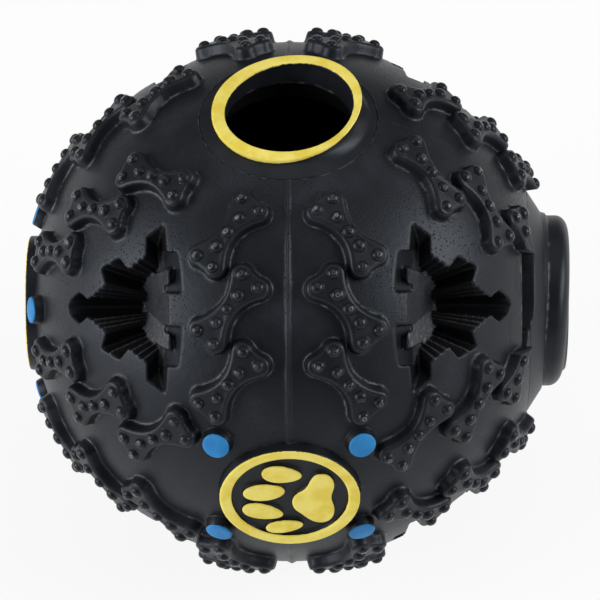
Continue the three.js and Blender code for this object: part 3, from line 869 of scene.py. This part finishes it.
def shell_surface(n, where, colour, rough, height):
    """Pits with painted shade in them, painted light on the pocket ramps, painted highlights on the crests
    and round the nubs' pinholes, and painted shade in the pinholes, added to the plain rubber.
    """
    # Painted shade in the fine pits, over a real dent in the relief, shown mostly on the upper skin, where
    # the light falls
    pit = n.below(n.dots(where, 1450), 0.12, 0.3)
    field = n.ramp(n.noise(where, 60), 0.3, 0.52)
    pit = n.times(pit, n.times(field, n.attribute("smooth_skin")))
    colour = n.mix(pit, colour, PIT_SHADE_BLACK)
    rough = n.plus(rough, n.times(pit, 0.4))
    height = n.minus(height, pit)
    speckle = n.ramp(n.noise(where, 1500, 2, 0.7), 0.48, 0.68)
    # Painted light on the ramps and seam wall, broken up by a fine speckle
    ramp_light = n.times(n.attribute("ramp"), n.plus(0.35, n.times(speckle, 0.5)))
    colour = n.mix(ramp_light, colour, RAMP_LIGHT_GREY)
    # Painted highlight along the rib crests
    colour = n.mix(n.times(n.attribute("crest"), 0.8), colour, CREST_HIGHLIGHT_GREY)
    tip = n.attribute("tip")
    share = n.attribute("tip_share")
    # Painted highlight: a pale ring round the pinhole, stronger where the pinhole is more open
    ring = n.times(n.ramp(tip, 0.2, 0.3), n.below(tip, 0.36, 0.6))
    colour = n.mix(n.times(ring, n.times(share, 0.55)), colour, TIP_HIGHLIGHT_GREY)
    # Painted shade in the pinhole, over a real dent in the relief
    hole = n.times(n.below(tip, 0.14, 0.26), n.ramp(share, 0.05, 0.15))
    colour = n.mix(hole, colour, PINHOLE_SHADE_BLACK)
    height = n.minus(height, n.times(hole, 4.0))
    rough = n.minus(rough, n.times(n.below(tip, 0.8, 1.2), 0.14))
    return colour, rough, height


def rubber(name, painted, paint, shell=False):
    """Satin moulded rubber with fine grain. painted names a distance attribute, above 0 in the paint."""
    mat, n, shader, where = principled_material(name)
    shader.inputs["Specular IOR Level"].default_value = RUBBER_SPECULAR
    shader.inputs["Specular Tint"].default_value = RUBBER_TINT
    blotch = n.noise(where, 90, 3, 0.55)
    colour = n.mix(n.ramp(blotch, 0.45, 0.8), BLACK, BLACK_WORN)
    rough = n.plus(RUBBER_ROUGHNESS, n.times(blotch, 0.14))
    height = n.times(n.noise(where, 2600, 3, 0.6), 0.5)
    broken = n.ramp(n.noise(where, 420), 0.46, 0.66)
    residue = n.times(n.below(n.attribute("residue"), 0.1, 0.3), broken)
    colour = n.mix(n.times(residue, 0.33), colour, RESIDUE)
    # Painted shade: near-black wherever the shade mark is set (pocket and vent walls, sunken badge fields,
    # deep bore)
    colour = n.mix(n.times(n.attribute("shade"), 0.8), colour, SHADE_BLACK)
    if shell:
        colour, rough, height = shell_surface(n, where, colour, rough, height)
    ragged = n.times(n.minus(n.noise(where, 700, 3, 0.6), 0.5), 0.45)
    inside = n.ramp(n.plus(n.attribute(painted), ragged), -0.04, 0.06)
    tone = n.mix(n.ramp(n.noise(where, 260, 3), 0.35, 0.7), *paint)
    colour = n.mix(inside, colour, tone)
    rough = n.plus(rough, n.times(inside, 0.12))
    height = n.plus(height, n.times(inside, 0.8))
    n.shaded(shader, colour, rough, height, 0.4, 0.00012)
    return mat


def plain(name, colour, roughness, metallic=0.0):
    mat, n, shader, where = principled_material(name)
    shader.inputs["Metallic"].default_value = metallic
    grain = n.noise(where, 900, 3)
    darker = tuple(c * 0.86 for c in colour[:3]) + (1,)
    rough = n.plus(roughness - 0.05, n.times(grain, 0.1))
    n.shaded(shader, n.mix(grain, colour, darker), rough, grain, 0.2, 0.0001)
    return mat


# Marks stored on the shell's points

def outline_distance(points, outline):
    """Distance of 2-D points to a closed outline."""
    best = np.full(len(points), 1e9)
    for i in range(len(outline)):
        a, b = np.array(outline[i]), np.array(outline[(i + 1) % len(outline)])
        ab = b - a
        t = np.clip((points - a) @ ab / (ab @ ab + 1e-12), 0, 1)
        best = np.minimum(best, np.linalg.norm(points - a - t[:, None] * ab, axis=1))
    return best


def around_axis(points, axis):
    """Height along an axis and distance from it."""
    height = points @ axis
    return height, np.linalg.norm(points - height[:, None] * axis, axis=1)


def within(degrees):
    return math.cos(math.radians(degrees))


def mark_bone_feet(radius, unit, residue):
    outline = bone_outline(0)[::2]
    for centre, along in BONES:
        normal = np.array(centre.normalized())
        near = np.where(unit @ normal > within(13.5))[0]
        if not len(near):
            continue
        u = np.array((along - centre * along.dot(centre)).normalized())
        v = np.cross(normal, u)
        flat = unit[near] / (unit[near] @ normal)[:, None] * BALL_RADIUS
        distance = outline_distance(np.stack([flat @ u, flat @ v], 1), outline)
        distance = np.where(np.abs(radius[near] - BALL_RADIUS) < 0.45, distance, FAR)
        residue[near] = np.minimum(residue[near], distance)


def mark_hole_rims(co, radius, residue):
    for name, hole in HOLE_RADII.items():
        height, away = around_axis(co, np.array(HOLE_AXES[name]))
        on_rim = (height > 0) & (radius > SHELL_INNER + 1)
        residue[:] = np.minimum(residue, np.where(on_rim, np.abs(away - hole), FAR))
    height, away = around_axis(co, np.array(POLES["right"]))
    for turn in VENT_TURNS:
        beside = apart(port_angles(co), turn) < VENT_HALF_ANGLE
        on_edge = beside & (height > 0) & (radius > BALL_RADIUS - 1)
        residue[:] = np.minimum(residue, np.where(on_edge, np.abs(away - VENT_OUTER) * 0.7, FAR))


def mark_pockets(co, radius, unit):
    """Shares of painted shade on each point of the ribbed walls, painted highlight on their crests, and
    painted light on the plain ramps and seam wall of the pockets.
    """
    wall, crest, ramp = (np.zeros(len(co)) for _ in range(3))
    outline = star_outline()
    tops = np.array(crest_points())
    for octant in OCTANTS:
        axes = PocketAxes(*(np.array(axis) for axis in pocket_axes(octant)))
        inside = (unit @ axes.normal > within(26)) & (radius < BALL_RADIUS - 0.35)
        near = np.where(inside & (radius > 24))[0]
        if not len(near):
            continue
        here = co[near]
        # Where the ray from the apex through each point meets the ball, in the tangent plane
        apex = np.array(pocket_apex(octant))
        ray = here - apex
        ray /= np.linalg.norm(ray, axis=1)[:, None]
        along = ray @ apex
        point = apex + ray * (np.sqrt(along ** 2 - apex @ apex + BALL_RADIUS ** 2) - along)[:, None]
        flat = point / (point @ axes.normal)[:, None] * BALL_RADIUS
        plane = np.stack([flat @ axes.across, flat @ axes.to_seam], 1)
        to_wall = outline_distance(plane, outline)
        edge, facing = seam_wall(axes)
        to_seam_wall = (here - edge) @ facing
        to_ramp = np.full(len(near), FAR)
        for sign in (-1, 1):
            for spot in ramp_surface(octant, sign):
                to_ramp = np.minimum(to_ramp, np.linalg.norm(here - spot, axis=1))
        on_ramp = to_ramp < 0.45
        off_centre = np.abs(here @ axes.across)
        on_seam_wall = (np.abs(to_seam_wall) < 0.4) & (off_centre < NOTCH_END) & ~on_ramp
        dark = (~on_ramp) & (~on_seam_wall) & ((to_wall < 0.9) | (off_centre > NOTCH_END))
        faces_up = -np.sign(plane[:, 0]) * axes.across[2] > 0
        to_crest = np.min(np.linalg.norm(plane[:, None] - tops[None], axis=2), axis=1)
        # Painted highlight along the rib crests, faint on walls facing down
        line = np.clip(1.25 - to_crest / 0.4, 0, 1) * dark * (to_wall < 0.7)
        # Painted shade on the pocket walls: full on walls facing down, three quarters on walls facing up
        wall[near] = np.maximum(wall[near], np.where(faces_up, 0.75, 1.0) * dark)
        crest[near] = np.maximum(crest[near], line * np.where(faces_up, 1, 0.15))
        # Painted light on the ramps, full on the upward one and 0.4 on the other, and 0.35 on the seam wall
        ramp_up = np.where(-np.sign(here @ axes.across) * axes.across[2] > 0, 1, 0.4)
        shown = np.where(on_ramp, ramp_up, np.where(on_seam_wall, 0.35, 0))
        ramp[near] = np.maximum(ramp[near], shown)
    return wall, crest, ramp


def mark_nubs(radius, unit):
    """Distance of each point from the tip of its nub, and how open that tip's pinhole is, which also sets
    the strength of the painted highlight round it.
    """
    tip = np.full(len(radius), FAR)
    share = np.zeros(len(radius))
    strengths = 0.1 + 0.9 * RNG.random(len(NUBS)) ** 2.2
    high = np.where(radius > BALL_RADIUS + BONE_HEIGHT + 0.1)[0]
    for axis, strength in zip(NUBS, strengths):
        near = high[unit[high] @ np.array(axis) > math.cos(1.6 / BALL_RADIUS)]
        if len(near):
            offset = RNG.normal(0, 0.003, 3)
            tip[near] = np.linalg.norm(unit[near] - np.array(axis) - offset, axis=1) * BALL_RADIUS
            share[near] = strength
    return tip, share


def mark_studs(co):
    """Distance inside the edge of the paint on the studs' tops."""
    paint = np.full(len(co), -FAR)
    for axis in STUDS:
        height, away = around_axis(co, np.array(axis))
        near = (away < STUD_RADIUS + 0.8) & (height > BALL_RADIUS - 0.5)
        edge = np.minimum(STUD_RADIUS + 0.3 - away, height - BALL_RADIUS - STUD_HEIGHT + 0.4)
        paint = np.where(near, np.maximum(paint, edge), paint)
    return paint


def mark_shell(obj):
    co = points_of(obj)
    radius = np.linalg.norm(co, axis=1)
    unit = co / radius[:, None]
    residue = np.full(len(co), FAR)
    mark_bone_feet(radius, unit, residue)
    mark_hole_rims(co, radius, residue)
    on_skin = np.abs(radius - BALL_RADIUS) < 0.25
    mould_lines = np.minimum(np.abs(co[:, 1]), np.abs(co[:, 2])) + 0.1
    residue = np.minimum(residue, np.where(on_skin, mould_lines, FAR))
    wall, crest, ramp = mark_pockets(co, radius, unit)
    height, away = around_axis(co, np.array(POLES["right"]))
    # Painted shade on the vent walls inside the shell
    wall = np.maximum(wall, (height > 0) & (away < VENT_OUTER + 0.3) & (radius < BALL_RADIUS - 0.5))
    tip, share = mark_nubs(radius, unit)
    # The pits' painted shade is strongest on the upper side of the ball
    upper = np.clip(unit[:, 2] * 1.4 + 0.25, 0, 1)
    marked(obj, residue=residue, shade=wall, crest=crest, ramp=ramp, tip=tip, tip_share=share,
           blue=mark_studs(co), smooth_skin=upper * (np.abs(radius - BALL_RADIUS) < 0.3))


SHELL_MAT = rubber("black_rubber", "blue", BLUE, shell=True)
INSERT_MAT = rubber("insert_rubber", "yellow", YELLOW)
for shell_name, shell_half in halves():
    mark_shell(shell_half)
    placed(shell_half, SHELL_MAT, shell_name)


# Sound unit, shown as CAD made it

TUBE_WHITE = srgb(214, 214, 208)
FOAM_GREY = srgb(74, 74, 74)
REED_CREAM = srgb(226, 220, 203)
PLAIN_MATS = {
    "sounder_tube": plain("tube_plastic", TUBE_WHITE, 0.4),
    "sounder_end_cap": plain("tube_plastic_cap", TUBE_WHITE, 0.4),
    "sounder_grille": plain("grille_plastic", srgb(40, 41, 46), 0.45),
    "outer_bumper": plain("soft_foam_outer", FOAM_GREY, 0.85),
    "inner_bumper": plain("soft_foam_inner", FOAM_GREY, 0.85),
    "reed_weight": plain("weight_metal", srgb(178, 180, 184), 0.35, 1.0),
    "reed_seal": plain("soft_foam_seal", srgb(60, 60, 62), 0.8),
    "reed_plate": plain("reed_plastic_plate", REED_CREAM, 0.4),
    "reed_tongue": plain("reed_plastic_tongue", REED_CREAM, 0.4),
    "reed_retainer": plain("reed_plastic_ring", REED_CREAM, 0.4),
}
for node_name, mat in PLAIN_MATS.items():
    use(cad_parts[node_name], mat)

# Badges

LIP_WIDTH = 3.0
LIP_THICKNESS = 1.8
LIP_GAP = 0.9
BADGE_FACE = 56.4
BADGE_RELIEF = 1.0
BADGE_RING_WIDTH = 2.5
BADGE_WALL = 2.6
BADGE_HUB = 0.4
PLUG_RADIUS = BADGE_HUB + 0.2

# Points on the pad's outline, each with the two handles of the curve to the next
PAD_POINTS = [
    (0.5, -1), (0.8, 1.6), (2.8, 1.6),
    (3.6, 3.4), (4.4, 5.4), (4.6, 7.2),
    (6.6, 7.2), (8.6, 7.2), (9.4, 4.6),
    (9, 2.8), (8.6, 1), (8.4, 0),
    (8.6, -1), (9.4, -3.2), (9.6, -7),
    (6.8, -7.6), (4.4, -8), (3, -5.4),
    (1.6, -4.2), (0.8, -3.4), (0.4, -2.4),
]
# Place, half length, half width, turn and how much wider the outer end is
TOES = [
    (-1.6, 7.1, 4.1, 2.4, -6, 0.2),
    (-5.3, 1.6, 4.3, 2.4, 7, 0.05),
    (-5.6, -4.3, 4.3, 2.2, -14, 0.2),
    (-1.2, -9, 3.9, 1.8, 10, 0.15),
]


def pad_outline(steps=10):
    points = []
    for first in range(0, len(PAD_POINTS), 3):
        a, b, c, d = (PAD_POINTS[(first + i) % len(PAD_POINTS)] for i in range(4))
        for k in range(steps):
            t = k / steps
            s = 1 - t
            points.append(tuple(s ** 3 * a[i] + 3 * s * s * t * b[i] + 3 * s * t * t * c[i] + t ** 3 * d[i]
                                for i in (0, 1)))
    return points


def toe_outline(x, y, half_length, half_width, turn, egg, steps=40):
    angle = math.radians(turn)
    points = []
    for k in range(steps):
        a = 2 * math.pi * k / steps
        px, py = half_length * math.cos(a), half_width * math.sin(a) * (1 - egg * math.cos(a))
        points.append((x + px * math.cos(angle) - py * math.sin(angle),
                       y + px * math.sin(angle) + py * math.cos(angle)))
    return points


PAW = [pad_outline()] + [toe_outline(*toe) for toe in TOES]


def inset(outline, amount):
    """An outline moved inward by its own normals."""
    p = np.array(outline)
    after, before = np.roll(p, -1, axis=0), np.roll(p, 1, axis=0)
    tangent = after - before
    tangent /= np.linalg.norm(tangent, axis=1)[:, None]
    area = np.sum(p[:, 0] * after[:, 1] - after[:, 0] * p[:, 1])
    inward = np.stack([-tangent[:, 1], tangent[:, 0]], 1) * (1 if area > 0 else -1)
    return [tuple(q) for q in p + inward * amount]


def raised(outline, base, top, pole, edge=0.3):
    """Rings of a raised figure with a rounded upper edge."""
    turn = towards(pole)
    levels = [(base, 0), (top - edge, 0), (top - edge * 0.4, edge * 0.25), (top, edge * 1.1)]
    return [[turn @ Vector((x, y, z)) for x, y in inset(outline, amount)] for z, amount in levels]


def badge(short, pole):
    lip_radius = BADGE_RADIUS + LIP_WIDTH
    lip_top = sphere_height(SHELL_INNER, lip_radius) - LIP_GAP
    lip_low = lip_top - LIP_THICKNESS
    field = BADGE_FACE - BADGE_RELIEF
    inner = BADGE_RADIUS - BADGE_WALL
    ring_inner = BADGE_RADIUS - BADGE_RING_WIDTH
    profile = [
        (BADGE_HUB, field - BADGE_WALL),
        (inner, field - BADGE_WALL),
        (inner, lip_low),
        (lip_radius, lip_low),
        (lip_radius, lip_top),
        (BADGE_RADIUS, lip_top),
        (BADGE_RADIUS, BADGE_FACE - 0.45),
        (BADGE_RADIUS - 0.12, BADGE_FACE - 0.15),
        (BADGE_RADIUS - 0.45, BADGE_FACE),
        (ring_inner + 0.4, BADGE_FACE),
        (ring_inner + 0.1, BADGE_FACE - 0.15),
        (ring_inner, BADGE_FACE - 0.4),
        (ring_inner - 0.05, field + 0.15),
        (ring_inner - 0.25, field),
        (BADGE_HUB, field),
    ]
    obj = lathe(f"badge_{short}_moulded", profile, 120, pole)
    boolean(obj, disc_tool("plug", pole, PLUG_RADIUS, field - BADGE_WALL, field, 24), "UNION")
    for outline in PAW:
        boolean(obj, solid("figure", raised(outline, field - 0.6, BADGE_FACE, pole)), "UNION")
    melted(obj, BADGE_VOXEL)
    co = points_of(obj)
    height, away = around_axis(co, np.array(pole))
    yellow = np.where(away > BADGE_RADIUS - 0.12, -0.2, (height - field) - 0.55)
    # Painted shade on the badge's sunken field inside the ring
    shade = (away < ring_inner + 0.3) & (height < field + 0.4)
    marked(obj, yellow=yellow, residue=np.full(len(co), FAR), shade=shade)
    placed(obj, INSERT_MAT, f"badge_{short}")


for short_name, pole_name in (("front", "front"), ("left", "left"), ("back", "back"), ("base", "bottom")):
    badge(short_name, HOLE_AXES[pole_name])

# Mouth collar

MOUTH_RADIUS = 13.1
MOUTH_LIP_RADIUS = 15.6
MOUTH_LIP_HEIGHT = 1.2
MOUTH_FACE = 55.8
MOUTH_DEPTH = 7.4
MOUTH_WALL_STEP = 1.6
BORE_DEPTH = 4.9

# The soft lip isn't quite flat or round: shift of its middle, tilt, saddle and change of radius
LIP_OUTER = {
    "x": -0.30, "y": 0.96, "tilt_x": 1.77, "tilt_y": 0.75, "saddle": 0.44, "twist": 0.0, "radius": -0.15,
}
LIP_INNER = {
    "x": 0.14, "y": 0.56, "tilt_x": 1.07, "tilt_y": 0.26, "saddle": -0.09, "twist": 0.18, "radius": 0.1,
}


def slumped(co):
    """The lip's points, moved to where the soft lip has settled."""
    angle = np.arctan2(co[:, 1], co[:, 0])
    away = np.hypot(co[:, 0], co[:, 1])
    outer = np.clip((away - MOUTH_RADIUS) / (MOUTH_LIP_RADIUS - MOUTH_RADIUS), 0, 1)
    start = MOUTH_FACE - 6.5 + 3.7 * outer
    t = np.clip((co[:, 2] - start) / (MOUTH_FACE - 0.6 - start), 0, 1)
    weight = t * t * (3 - 2 * t)
    value = {key: LIP_INNER[key] + (LIP_OUTER[key] - LIP_INNER[key]) * outer for key in LIP_OUTER}
    radius = away + value["radius"] * weight
    rise = (value["tilt_x"] * np.cos(angle) + value["tilt_y"] * np.sin(angle)
            + value["saddle"] * np.cos(2 * angle) + value["twist"] * np.sin(2 * angle))
    return np.stack([
        radius * np.cos(angle) + value["x"] * weight,
        radius * np.sin(angle) + value["y"] * weight,
        co[:, 2] + rise * weight,
    ], 1)


def mouth_collar():
    base = sphere_height(BALL_RADIUS, MOUTH_BASE_RADIUS)
    lip_radius = MOUTH_BASE_RADIUS + LIP_WIDTH
    lip_top = sphere_height(SHELL_INNER, lip_radius) - LIP_GAP
    foot = MOUTH_FACE - MOUTH_LIP_HEIGHT
    inner = MOUTH_RADIUS + MOUTH_WALL_STEP
    flare = [(MOUTH_BASE_RADIUS + (MOUTH_LIP_RADIUS - MOUTH_BASE_RADIUS) * math.sin(t * math.pi / 2),
              base + (foot - base) * (1 - math.cos(t * math.pi / 2))) for t in (k / 10 for k in range(11))]
    profile = [
        (inner, lip_top - LIP_THICKNESS),
        (lip_radius, lip_top - LIP_THICKNESS),
        (lip_radius, lip_top),
        (MOUTH_BASE_RADIUS, lip_top),
        *flare,
        (MOUTH_LIP_RADIUS, MOUTH_FACE),
        (MOUTH_RADIUS, MOUTH_FACE),
        (MOUTH_RADIUS, MOUTH_FACE - BORE_DEPTH),
        (inner, MOUTH_FACE - BORE_DEPTH - 0.4),
        (inner, MOUTH_FACE - MOUTH_DEPTH),
    ]
    profile = refined(rounded(profile, 0.45), 0.25)
    obj = lathe("mouth_collar_moulded", profile, 360, POLES["top"])
    co = points_of(obj)
    away = np.hypot(co[:, 0], co[:, 1])
    side = -co[:, 0] / np.maximum(away, 1e-6)
    front = -co[:, 1] / np.maximum(away, 1e-6)
    band = 0.52 + 0.12 * front + 0.16 * side
    yellow = np.minimum(co[:, 2] - (MOUTH_FACE - band), away - (MOUTH_RADIUS + 0.05 - 0.15 * side))
    bore_line = np.abs(co[:, 2] - MOUTH_FACE + 4.7) * 0.6
    residue = np.where(away < MOUTH_RADIUS + 0.4, bore_line, FAR)
    # Painted shade deep in the bore
    shade = (co[:, 2] < MOUTH_FACE - BORE_DEPTH) & (away < MOUTH_RADIUS + 2)
    marked(obj, yellow=yellow, residue=residue, shade=shade)
    set_points(obj, slumped(co))
    placed(obj, INSERT_MAT, "mouth_collar")


mouth_collar()

# Sound port's collar

PORT_NECK_RADIUS = 18.4
PORT_SHOULDER = 54.3
PORT_DOME_START = 56.2
PORT_FACE = 59.0
PORT_FACE_RADIUS = 14.9
PORT_BOSS_DEPTH = 14.0
PORT_LIP_WIDTH = 2.2
# The neck leans outward at the side away from the badge in front
PORT_LEAN = 0.0435
TUBE_RADIUS = 12.8
GRILLE_RADIUS = 14.5
TUBE_OUTER_END = 55.6


def port_collar():
    skirt_edge = sphere_height(BALL_RADIUS, PORT_SKIRT_RADIUS)
    lip_radius = PORT_SKIRT_RADIUS + PORT_LIP_WIDTH
    lip_top = sphere_height(SHELL_INNER, lip_radius) - LIP_GAP
    boss_low = PORT_FACE - PORT_BOSS_DEPTH
    bore = TUBE_RADIUS + FIT_GAP
    seat = GRILLE_RADIUS + FIT_GAP
    dome_width, dome_height = PORT_NECK_RADIUS - PORT_FACE_RADIUS, PORT_FACE - PORT_DOME_START
    flange = [(PORT_FACE_RADIUS + dome_width * math.cos(t), PORT_DOME_START + dome_height * math.sin(t))
              for t in (math.pi / 2 * k / 12 for k in range(13))]
    profile = [
        (bore, min(boss_low, lip_top - LIP_THICKNESS)),
        (lip_radius, lip_top - LIP_THICKNESS),
        (lip_radius, lip_top),
        (PORT_SKIRT_RADIUS, lip_top),
        (PORT_SKIRT_RADIUS, skirt_edge),
        (PORT_NECK_RADIUS, PORT_SHOULDER),
        *flange,
        (seat, PORT_FACE),
        (seat, TUBE_OUTER_END),
        (bore, TUBE_OUTER_END),
    ]
    profile = refined(rounded(profile, 0.3), 0.35)
    obj = lathe("port_collar_moulded", profile, 300, POLES["right"])
    for around in VENT_TURNS:
        boolean(obj, vent_tool(around, lip_radius + 4, boss_low - 4, PORT_SHOULDER), "DIFFERENCE")
    co = points_of(obj)
    height, away = around_axis(co, np.array(POLES["right"]))
    at_shoulder = np.abs(height - PORT_SHOULDER) + np.abs(away - PORT_NECK_RADIUS) * 0.6
    beside = np.min([apart(port_angles(co), turn) for turn in VENT_TURNS], axis=0)
    slope = (PORT_SHOULDER - skirt_edge) / (PORT_SKIRT_RADIUS - PORT_NECK_RADIUS)
    skirt = skirt_edge + (PORT_SKIRT_RADIUS - away) * slope
    # Painted shade on the vent walls below the skirt
    below_skirt = (away > VENT_INNER - 0.3) & (height < skirt - 0.3)
    shade = below_skirt & (beside < VENT_HALF_ANGLE + 2)
    marked(obj, residue=at_shoulder * 0.6, shade=shade, yellow=np.full(len(co), -FAR))
    neck = np.clip((height - 52) / 2, 0, 1) * np.clip((away - seat) / 0.6, 0, 1)
    neck = neck * (away < PORT_NECK_RADIUS + 0.6)
    co[:, 0] += PORT_LEAN * (co[:, 1] + co[:, 2]) * math.sqrt(0.5) * neck
    set_points(obj, co)
    placed(obj, INSERT_MAT, "port_collar")


port_collar()

# Studio: pale floor, soft light from the sides and above, camera at the photograph's angle

WHITE_SHARE = 0.88
FLOOR_SIZE = 8
FLOOR_DROP = 0.0002
FLOOR_GREY = (0.9, 0.9, 0.9, 1)
WORLD_STRENGTH = 0.22
LAMP_DISTANCE = 1.2


def white_to_camera(name, colour):
    """A surface that camera, glossy and transmitted rays see as white, and that takes the shadow."""
    mat, n = empty_material(name)
    diffuse = n.add("ShaderNodeBsdfDiffuse", {"Color": colour})
    white = n.add("ShaderNodeEmission")
    path = n.add("ShaderNodeLightPath").outputs
    seen = n.math("MAXIMUM", path["Is Camera Ray"], path["Is Glossy Ray"])
    seen = n.times(n.math("MAXIMUM", seen, path["Is Transmission Ray"]), WHITE_SHARE)
    mixed = n.add("ShaderNodeMixShader", {0: seen, 1: diffuse.outputs[0], 2: white.outputs[0]})
    n.add("ShaderNodeOutputMaterial", {0: mixed.outputs[0]})
    return mat


bpy.ops.mesh.primitive_plane_add(size=FLOOR_SIZE, location=(0, 0, -FLOOR_DROP))
floor = bpy.context.object
floor.name = "floor"
use(floor, white_to_camera("floor_white", FLOOR_GREY))

scene = bpy.context.scene
world = bpy.data.worlds.new("studio")
scene.world = world
world.use_nodes = True
background = world.node_tree.nodes["Background"]
background.inputs["Color"].default_value = (1, 1, 1, 1)
background.inputs["Strength"].default_value = WORLD_STRENGTH


def softbox(name, direction, size, power):
    lamp = bpy.data.lights.new(name, "AREA")
    lamp.shape = "RECTANGLE"
    lamp.size, lamp.size_y = size
    lamp.energy = power
    obj = linked(name, lamp)
    away = Vector(direction).normalized()
    obj.location = CENTRE + away * LAMP_DISTANCE
    obj.rotation_euler = (-away).to_track_quat("-Z", "Y").to_euler()


softbox("left_softbox", (-0.93, -0.28, 0.30), (0.9, 0.75), 14)
softbox("right_softbox", (0.87, -0.14, 0.46), (0.9, 0.45), 11)
softbox("top_softbox", (0, 0.2, 0.98), (1.2, 1.2), 3)

# The camera's place from the ball's middle, and where it looks
CAMERA_PLACE = Vector((0.1453, -9.2312, 9.198)) * BALL_RADIUS * MM
FORWARD = Vector((-0.0085, 0.7087, -0.7055))
RIGHT = Vector((0.99995, 0.0028, -0.0093))
FOCAL_PIXELS = 3374.6
IMAGE_PIXELS = 600
SENSOR_WIDTH = 36

camera_data = bpy.data.cameras.new("camera")
camera = linked("camera", camera_data)
scene.camera = camera
camera_data.sensor_width = SENSOR_WIDTH
camera_data.sensor_fit = "HORIZONTAL"
camera_data.lens = FOCAL_PIXELS / IMAGE_PIXELS * SENSOR_WIDTH
camera_data.clip_start = 0.01
forward = FORWARD.normalized()
right = (RIGHT - forward * RIGHT.dot(forward)).normalized()
up = right.cross(forward)
facing = Matrix((right, up, -forward)).transposed()
camera.matrix_world = Matrix.Translation(CENTRE + CAMERA_PLACE) @ facing.to_4x4()

scene.view_settings.view_transform = "Standard"
